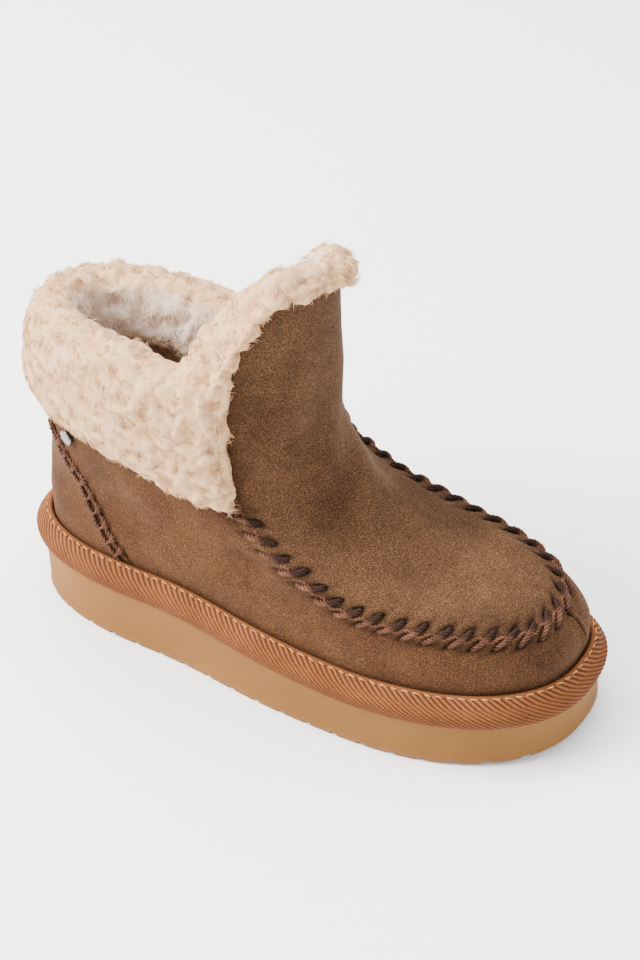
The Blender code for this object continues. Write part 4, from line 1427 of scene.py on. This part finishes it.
def makeHairs(name, grid, normals, grain, shades, weights, look, material, seed):
    rng = np.random.default_rng(seed)
    roots, normal, down, rootShade = rootsOn(grid, normals, grain, shades, weights, look["count"], rng)
    tuftCount = look["count"] // look["perTuft"]
    pull, tuft = tuftLean(roots, normal, tuftCount, rng)
    tuftTurn = rng.uniform(-1.0, 1.0, (tuftCount, 2))[tuft]
    across = np.cross(normal, down)
    lean = down * look["brush"] + across * tuftTurn[:, :1] * look["swirl"]
    lean = lean + down * tuftTurn[:, 1:] * look["swirl"]
    lean = lean + across * rng.uniform(-1.0, 1.0, (len(roots), 1)) * look["stray"]
    growth = unit(normal * look["lift"] + lean + pull * look["gather"])
    bendTo = lean - normal * look["lift"] * 0.6
    bendTo = bendTo - growth * (bendTo * growth).sum(axis=1)[:, None]
    bendTo = unit(bendTo + across * 1e-4)
    shapes = []
    for i in range(look["kinds"]):
        bend = look["bend"] * (0.7 + 0.6 * i / look["kinds"])
        shapes.append(hairShape(f"{name}Hair{i}", bend, look["curl"], seed * 10 + i))
    long = look["long"] * rng.uniform(0.7, 1.25, len(roots))
    thick = look["thick"] * rng.uniform(0.8, 1.25, len(roots))
    places = {
        "positions": roots - normal * look["sunk"],
        "turns": turnsOf(bendTo, np.cross(growth, bendTo), growth),
        "sizes": np.column_stack([thick, thick, long]),
        "kinds": rng.integers(0, look["kinds"], len(roots)),
        "shades": np.clip(rootShade + 0.22 * tuftTurn[:, 0] + rng.normal(0.0, 0.12, len(roots)), 0.0, 1.0),
    }
    mesh = copiedMesh(name, shapes, places, material, {"Smallest": 0.85, "Largest": 1.15, "Seed": seed})
    addPiece(name, mesh, material)


flapWeights = ends * outside * (1 - front)
curlWeights = ends * (1 - insideRows) * (1 - outside * (1 - front))
brushedLook = {
    "count": 10500, "perTuft": 7, "brush": 1.0, "swirl": 0.22, "stray": 0.16, "lift": 0.28, "gather": 60.0,
    "kinds": 5, "bend": 0.25, "curl": 0.05, "long": 1.1, "thick": 1.0, "sunk": 0.0004,
}
curlLook = {
    "count": 11500, "perTuft": 18, "brush": 0.30, "swirl": 0.85, "stray": 0.30, "lift": 0.45, "gather": 190.0,
    "kinds": 6, "bend": 0.6, "curl": 0.14, "long": 0.85, "thick": 1.1, "sunk": 0.0004,
}
insideLook = {
    "count": 7500, "perTuft": 14, "brush": -0.6, "swirl": 0.5, "stray": 0.4, "lift": 0.5, "gather": 110.0,
    "kinds": 5, "bend": 0.5, "curl": 0.12, "long": 1.1, "thick": 1.1, "sunk": 0.0004,
}
# The hairs take the painted shade of the hollows they grow from
shadeGrid = (pileShade + 0.6 * np.clip(0.5 - pileTip, 0.0, 0.5)).reshape(pileRows.shape[:2])
flapHairs = ("cuffBrushedHairs", flapWeights, brushedLook, fleece, 21)
curlHairs = ("cuffCurls", curlWeights, curlLook, fleece, 22)
# The inside hairs take the paler copy: painted light
innerHairs = ("cuffInnerHairs", insideRows * ends, insideLook, litFleece, 23)
for name, weights, look, wool, seed in (flapHairs, curlHairs, innerHairs):
    makeHairs(name, lumpyPile, pileNormals, pileGrain, shadeGrid, weights, look, wool, seed)
print("cuff ready")

lining = {
    "ribs": 160, "rows": 40, "backRows": 26, "depth": 0.0050, "lumps": 0.0012, "topGap": 0.018,
    "bottomLevel": 0.9, "hairs": 3500, "hairBrush": -0.8, "hairStart": 16.0, "hairFade": 6.0,
}


# Pile lining of the shaft and the foot, from under the cuff's inner leg down to the insole
def makeLining():
    angles = np.arange(lining["ribs"]) * 2 * math.pi / lining["ribs"]
    top = levelBelowCollar(angles, np.full(len(angles), lining["topGap"]))

    def rowAt(share):
        levels = lining["bottomLevel"] + (top - lining["bottomLevel"]) * share
        return upperPoints(angles, levels), upperFrame(angles, levels)[0]

    rows = []
    for share in np.linspace(0.0, 1.0, lining["rows"]):
        points, normals = rowAt(share)
        depth = lining["depth"] * (1 - 0.75 * (2 * share - 1) ** 8)
        bumps = fleeceLumps(points, 6.0) * lining["lumps"]
        rows.append(points - normals * (boot["wall"] + depth + bumps)[:, None])
    inner = np.array(rows)
    for share in np.linspace(1.0, 0.0, lining["backRows"]):
        points, normals = rowAt(share)
        rows.append(points - normals * (boot["wall"] + boot["clearance"]))
    grid = np.array(rows)
    vertices = grid.reshape(-1, 3)
    faces = outwardFaces(vertices, gridFaces(len(grid), len(angles), joinRows=True))
    mesh = meshFrom("shaftLining", vertices, faces)
    # The lining takes the darker copy and a low tip value: painted shade inside the boot
    setValues(mesh, "shade", np.full(len(vertices), 0.5))
    setValues(mesh, "tip", np.full(len(vertices), 0.35))
    addPiece("shaftLining", mesh, shadedFleece)
    normals, grain = gridNormals(inner)
    centre = inner.mean(axis=(0, 1))
    middle = lining["rows"] // 2
    if ((inner[middle] - centre) * normals[middle]).sum() > 0:
        normals = -normals
    high = smoothStep((np.arange(lining["rows"]) - lining["hairStart"]) / lining["hairFade"])
    high = np.broadcast_to(high[:, None], inner.shape[:2])
    look = dict(insideLook, count=lining["hairs"], brush=lining["hairBrush"])
    shades = np.full(inner.shape[:2], 0.5)
    makeHairs("liningHairs", inner, normals, grain, shades, high, look, shadedFleece, 31)


makeLining()

insole = {"ribs": 120, "rows": 26, "rounding": 0.0015, "lumps": 0.0006}


# Pile insole with a softly uneven top
def makeInsole():
    angles = np.arange(insole["ribs"]) * 2 * math.pi / insole["ribs"]
    inset = boot["tapeSeat"] + boot["wall"] + 2 * boot["clearance"]
    base = boot["coreHeight"] + boot["clearance"]
    height = boot["insoleThickness"]
    rings = [outlineRing(angles, inset, base)]
    rings.append(outlineRing(angles, inset, base + height - insole["rounding"]))
    edge = outlineRing(angles, inset + insole["rounding"], base + height)
    middle = np.column_stack([np.full(len(angles), shift[0]), edge[:, 1] * 0.8, edge[:, 2]])
    for share in np.linspace(0.0, 0.97, insole["rows"]):
        ring = edge + (middle - edge) * share
        ring[:, 2] += noiseAt(ring, 120.0, 7.0) * insole["lumps"] * smoothStep(share * 6)
        rings.append(ring)
    grid = np.array(rings)
    faces = [tuple(face) for face in gridFaces(len(grid), len(angles))]
    last = (len(grid) - 1) * len(angles)
    half = len(angles) // 2
    for start, flip in ((0, True), (last, False)):
        for j in range(half):
            left, right = start + j, start + j + 1
            farLeft, farRight = start + (len(angles) - j) % len(angles), start + len(angles) - j - 1
            face = tuple(dict.fromkeys((left, right, farRight, farLeft)))
            if len(face) > 2:
                faces.append(face[::-1] if flip else face)
    mesh = meshFrom("insolePile", grid.reshape(-1, 3), faces)
    # The insole takes the darker copy and a low tip value: painted shade inside the boot
    setValues(mesh, "shade", np.full(len(mesh.vertices), 0.4))
    setValues(mesh, "tip", np.full(len(mesh.vertices), 0.45))
    addPiece("insolePile", mesh, shadedFleece, ("insole",))


makeInsole()
print("lining ready")

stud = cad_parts["cuff_stud"]
stud.data.materials.clear()
stud.data.materials.append(steel)

# Camera at the photo's place: seen from the outer front quarter, above
view = {
    "turn": -58.9, "height": 41.6, "roll": -2.1, "distance": 0.9, "aim": (0.0, 0.0, 0.045),
    "focalPixels": 1993.5, "centreX": 309.8, "centreY": 559.5, "width": 640, "tall": 960, "sensor": 36.0,
}


def viewAxes():
    turn, height, roll = (math.radians(view[key]) for key in ("turn", "height", "roll"))
    back = Vector((math.sin(turn) * math.cos(height), -math.cos(turn) * math.cos(height), math.sin(height)))
    right = Vector((math.cos(turn), math.sin(turn), 0.0))
    up = back.cross(right)
    rolledRight = right * math.cos(roll) + up * math.sin(roll)
    rolledUp = up * math.cos(roll) - right * math.sin(roll)
    return rolledRight, rolledUp, back


def makeCamera():
    right, up, back = viewAxes()
    data = bpy.data.cameras.new("camera")
    data.sensor_fit = "VERTICAL"
    data.sensor_height = view["sensor"]
    data.lens = view["focalPixels"] / view["tall"] * view["sensor"]
    data.shift_x = (view["width"] / 2 - view["centreX"]) / view["tall"]
    data.shift_y = (view["centreY"] - view["tall"] / 2) / view["tall"]
    data.clip_start = 0.05
    camera = bpy.data.objects.new("camera", data)
    camera.location = Vector(view["aim"]) + Vector(shift) + back * view["distance"]
    camera.rotation_euler = Matrix((right, up, back)).transposed().to_euler()
    bpy.context.scene.collection.objects.link(camera)
    bpy.context.scene.camera = camera


# A soft light that faces the boot. Place is right, up and back in the camera's directions.
def addLight(name, place, size, energy, colour):
    right, _, back = viewAxes()
    level = Vector((back.x, back.y, 0.0)).normalized()
    flatRight = Vector((right.x, right.y, 0.0)).normalized()
    data = bpy.data.lights.new(name, "AREA")
    data.shape = "DISK"
    data.size = size
    data.energy = energy
    data.color = linearColour(colour)[:3]
    light = bpy.data.objects.new(name, data)
    light.location = flatRight * place[0] + Vector((0.0, 0.0, place[1])) + level * place[2]
    light.rotation_euler = (light.location - Vector((0.0, 0.0, 0.06))).to_track_quat("Z", "Y").to_euler()
    bpy.context.scene.collection.objects.link(light)


def makeStage():
    size = 6.0
    skyStrength = 1.95
    corners = [(-size, -size, 0.0), (size, -size, 0.0), (size, size, 0.0), (-size, size, 0.0)]
    mesh = meshFrom("floor", np.array(corners), [(0, 1, 2, 3)])
    mesh.materials.append(paper)
    floor = bpy.data.objects.new("floor", mesh)
    bpy.context.scene.collection.objects.link(floor)
    world = bpy.data.worlds.new("studio")
    world.use_nodes = True
    background = world.node_tree.nodes["Background"]
    background.inputs["Color"].default_value = linearColour("f2f3f5")
    background.inputs["Strength"].default_value = skyStrength
    bpy.context.scene.world = world
    addLight("key", (-1.4, 1.3, 0.1), 1.1, 118.0, "fff8f0")
    addLight("fill", (1.3, 1.0, 0.9), 1.4, 6.0, "f4f7ff")
    addLight("top", (-0.1, 1.9, -0.3), 1.5, 54.0, "ffffff")


makeCamera()
makeStage()
print("stage ready")
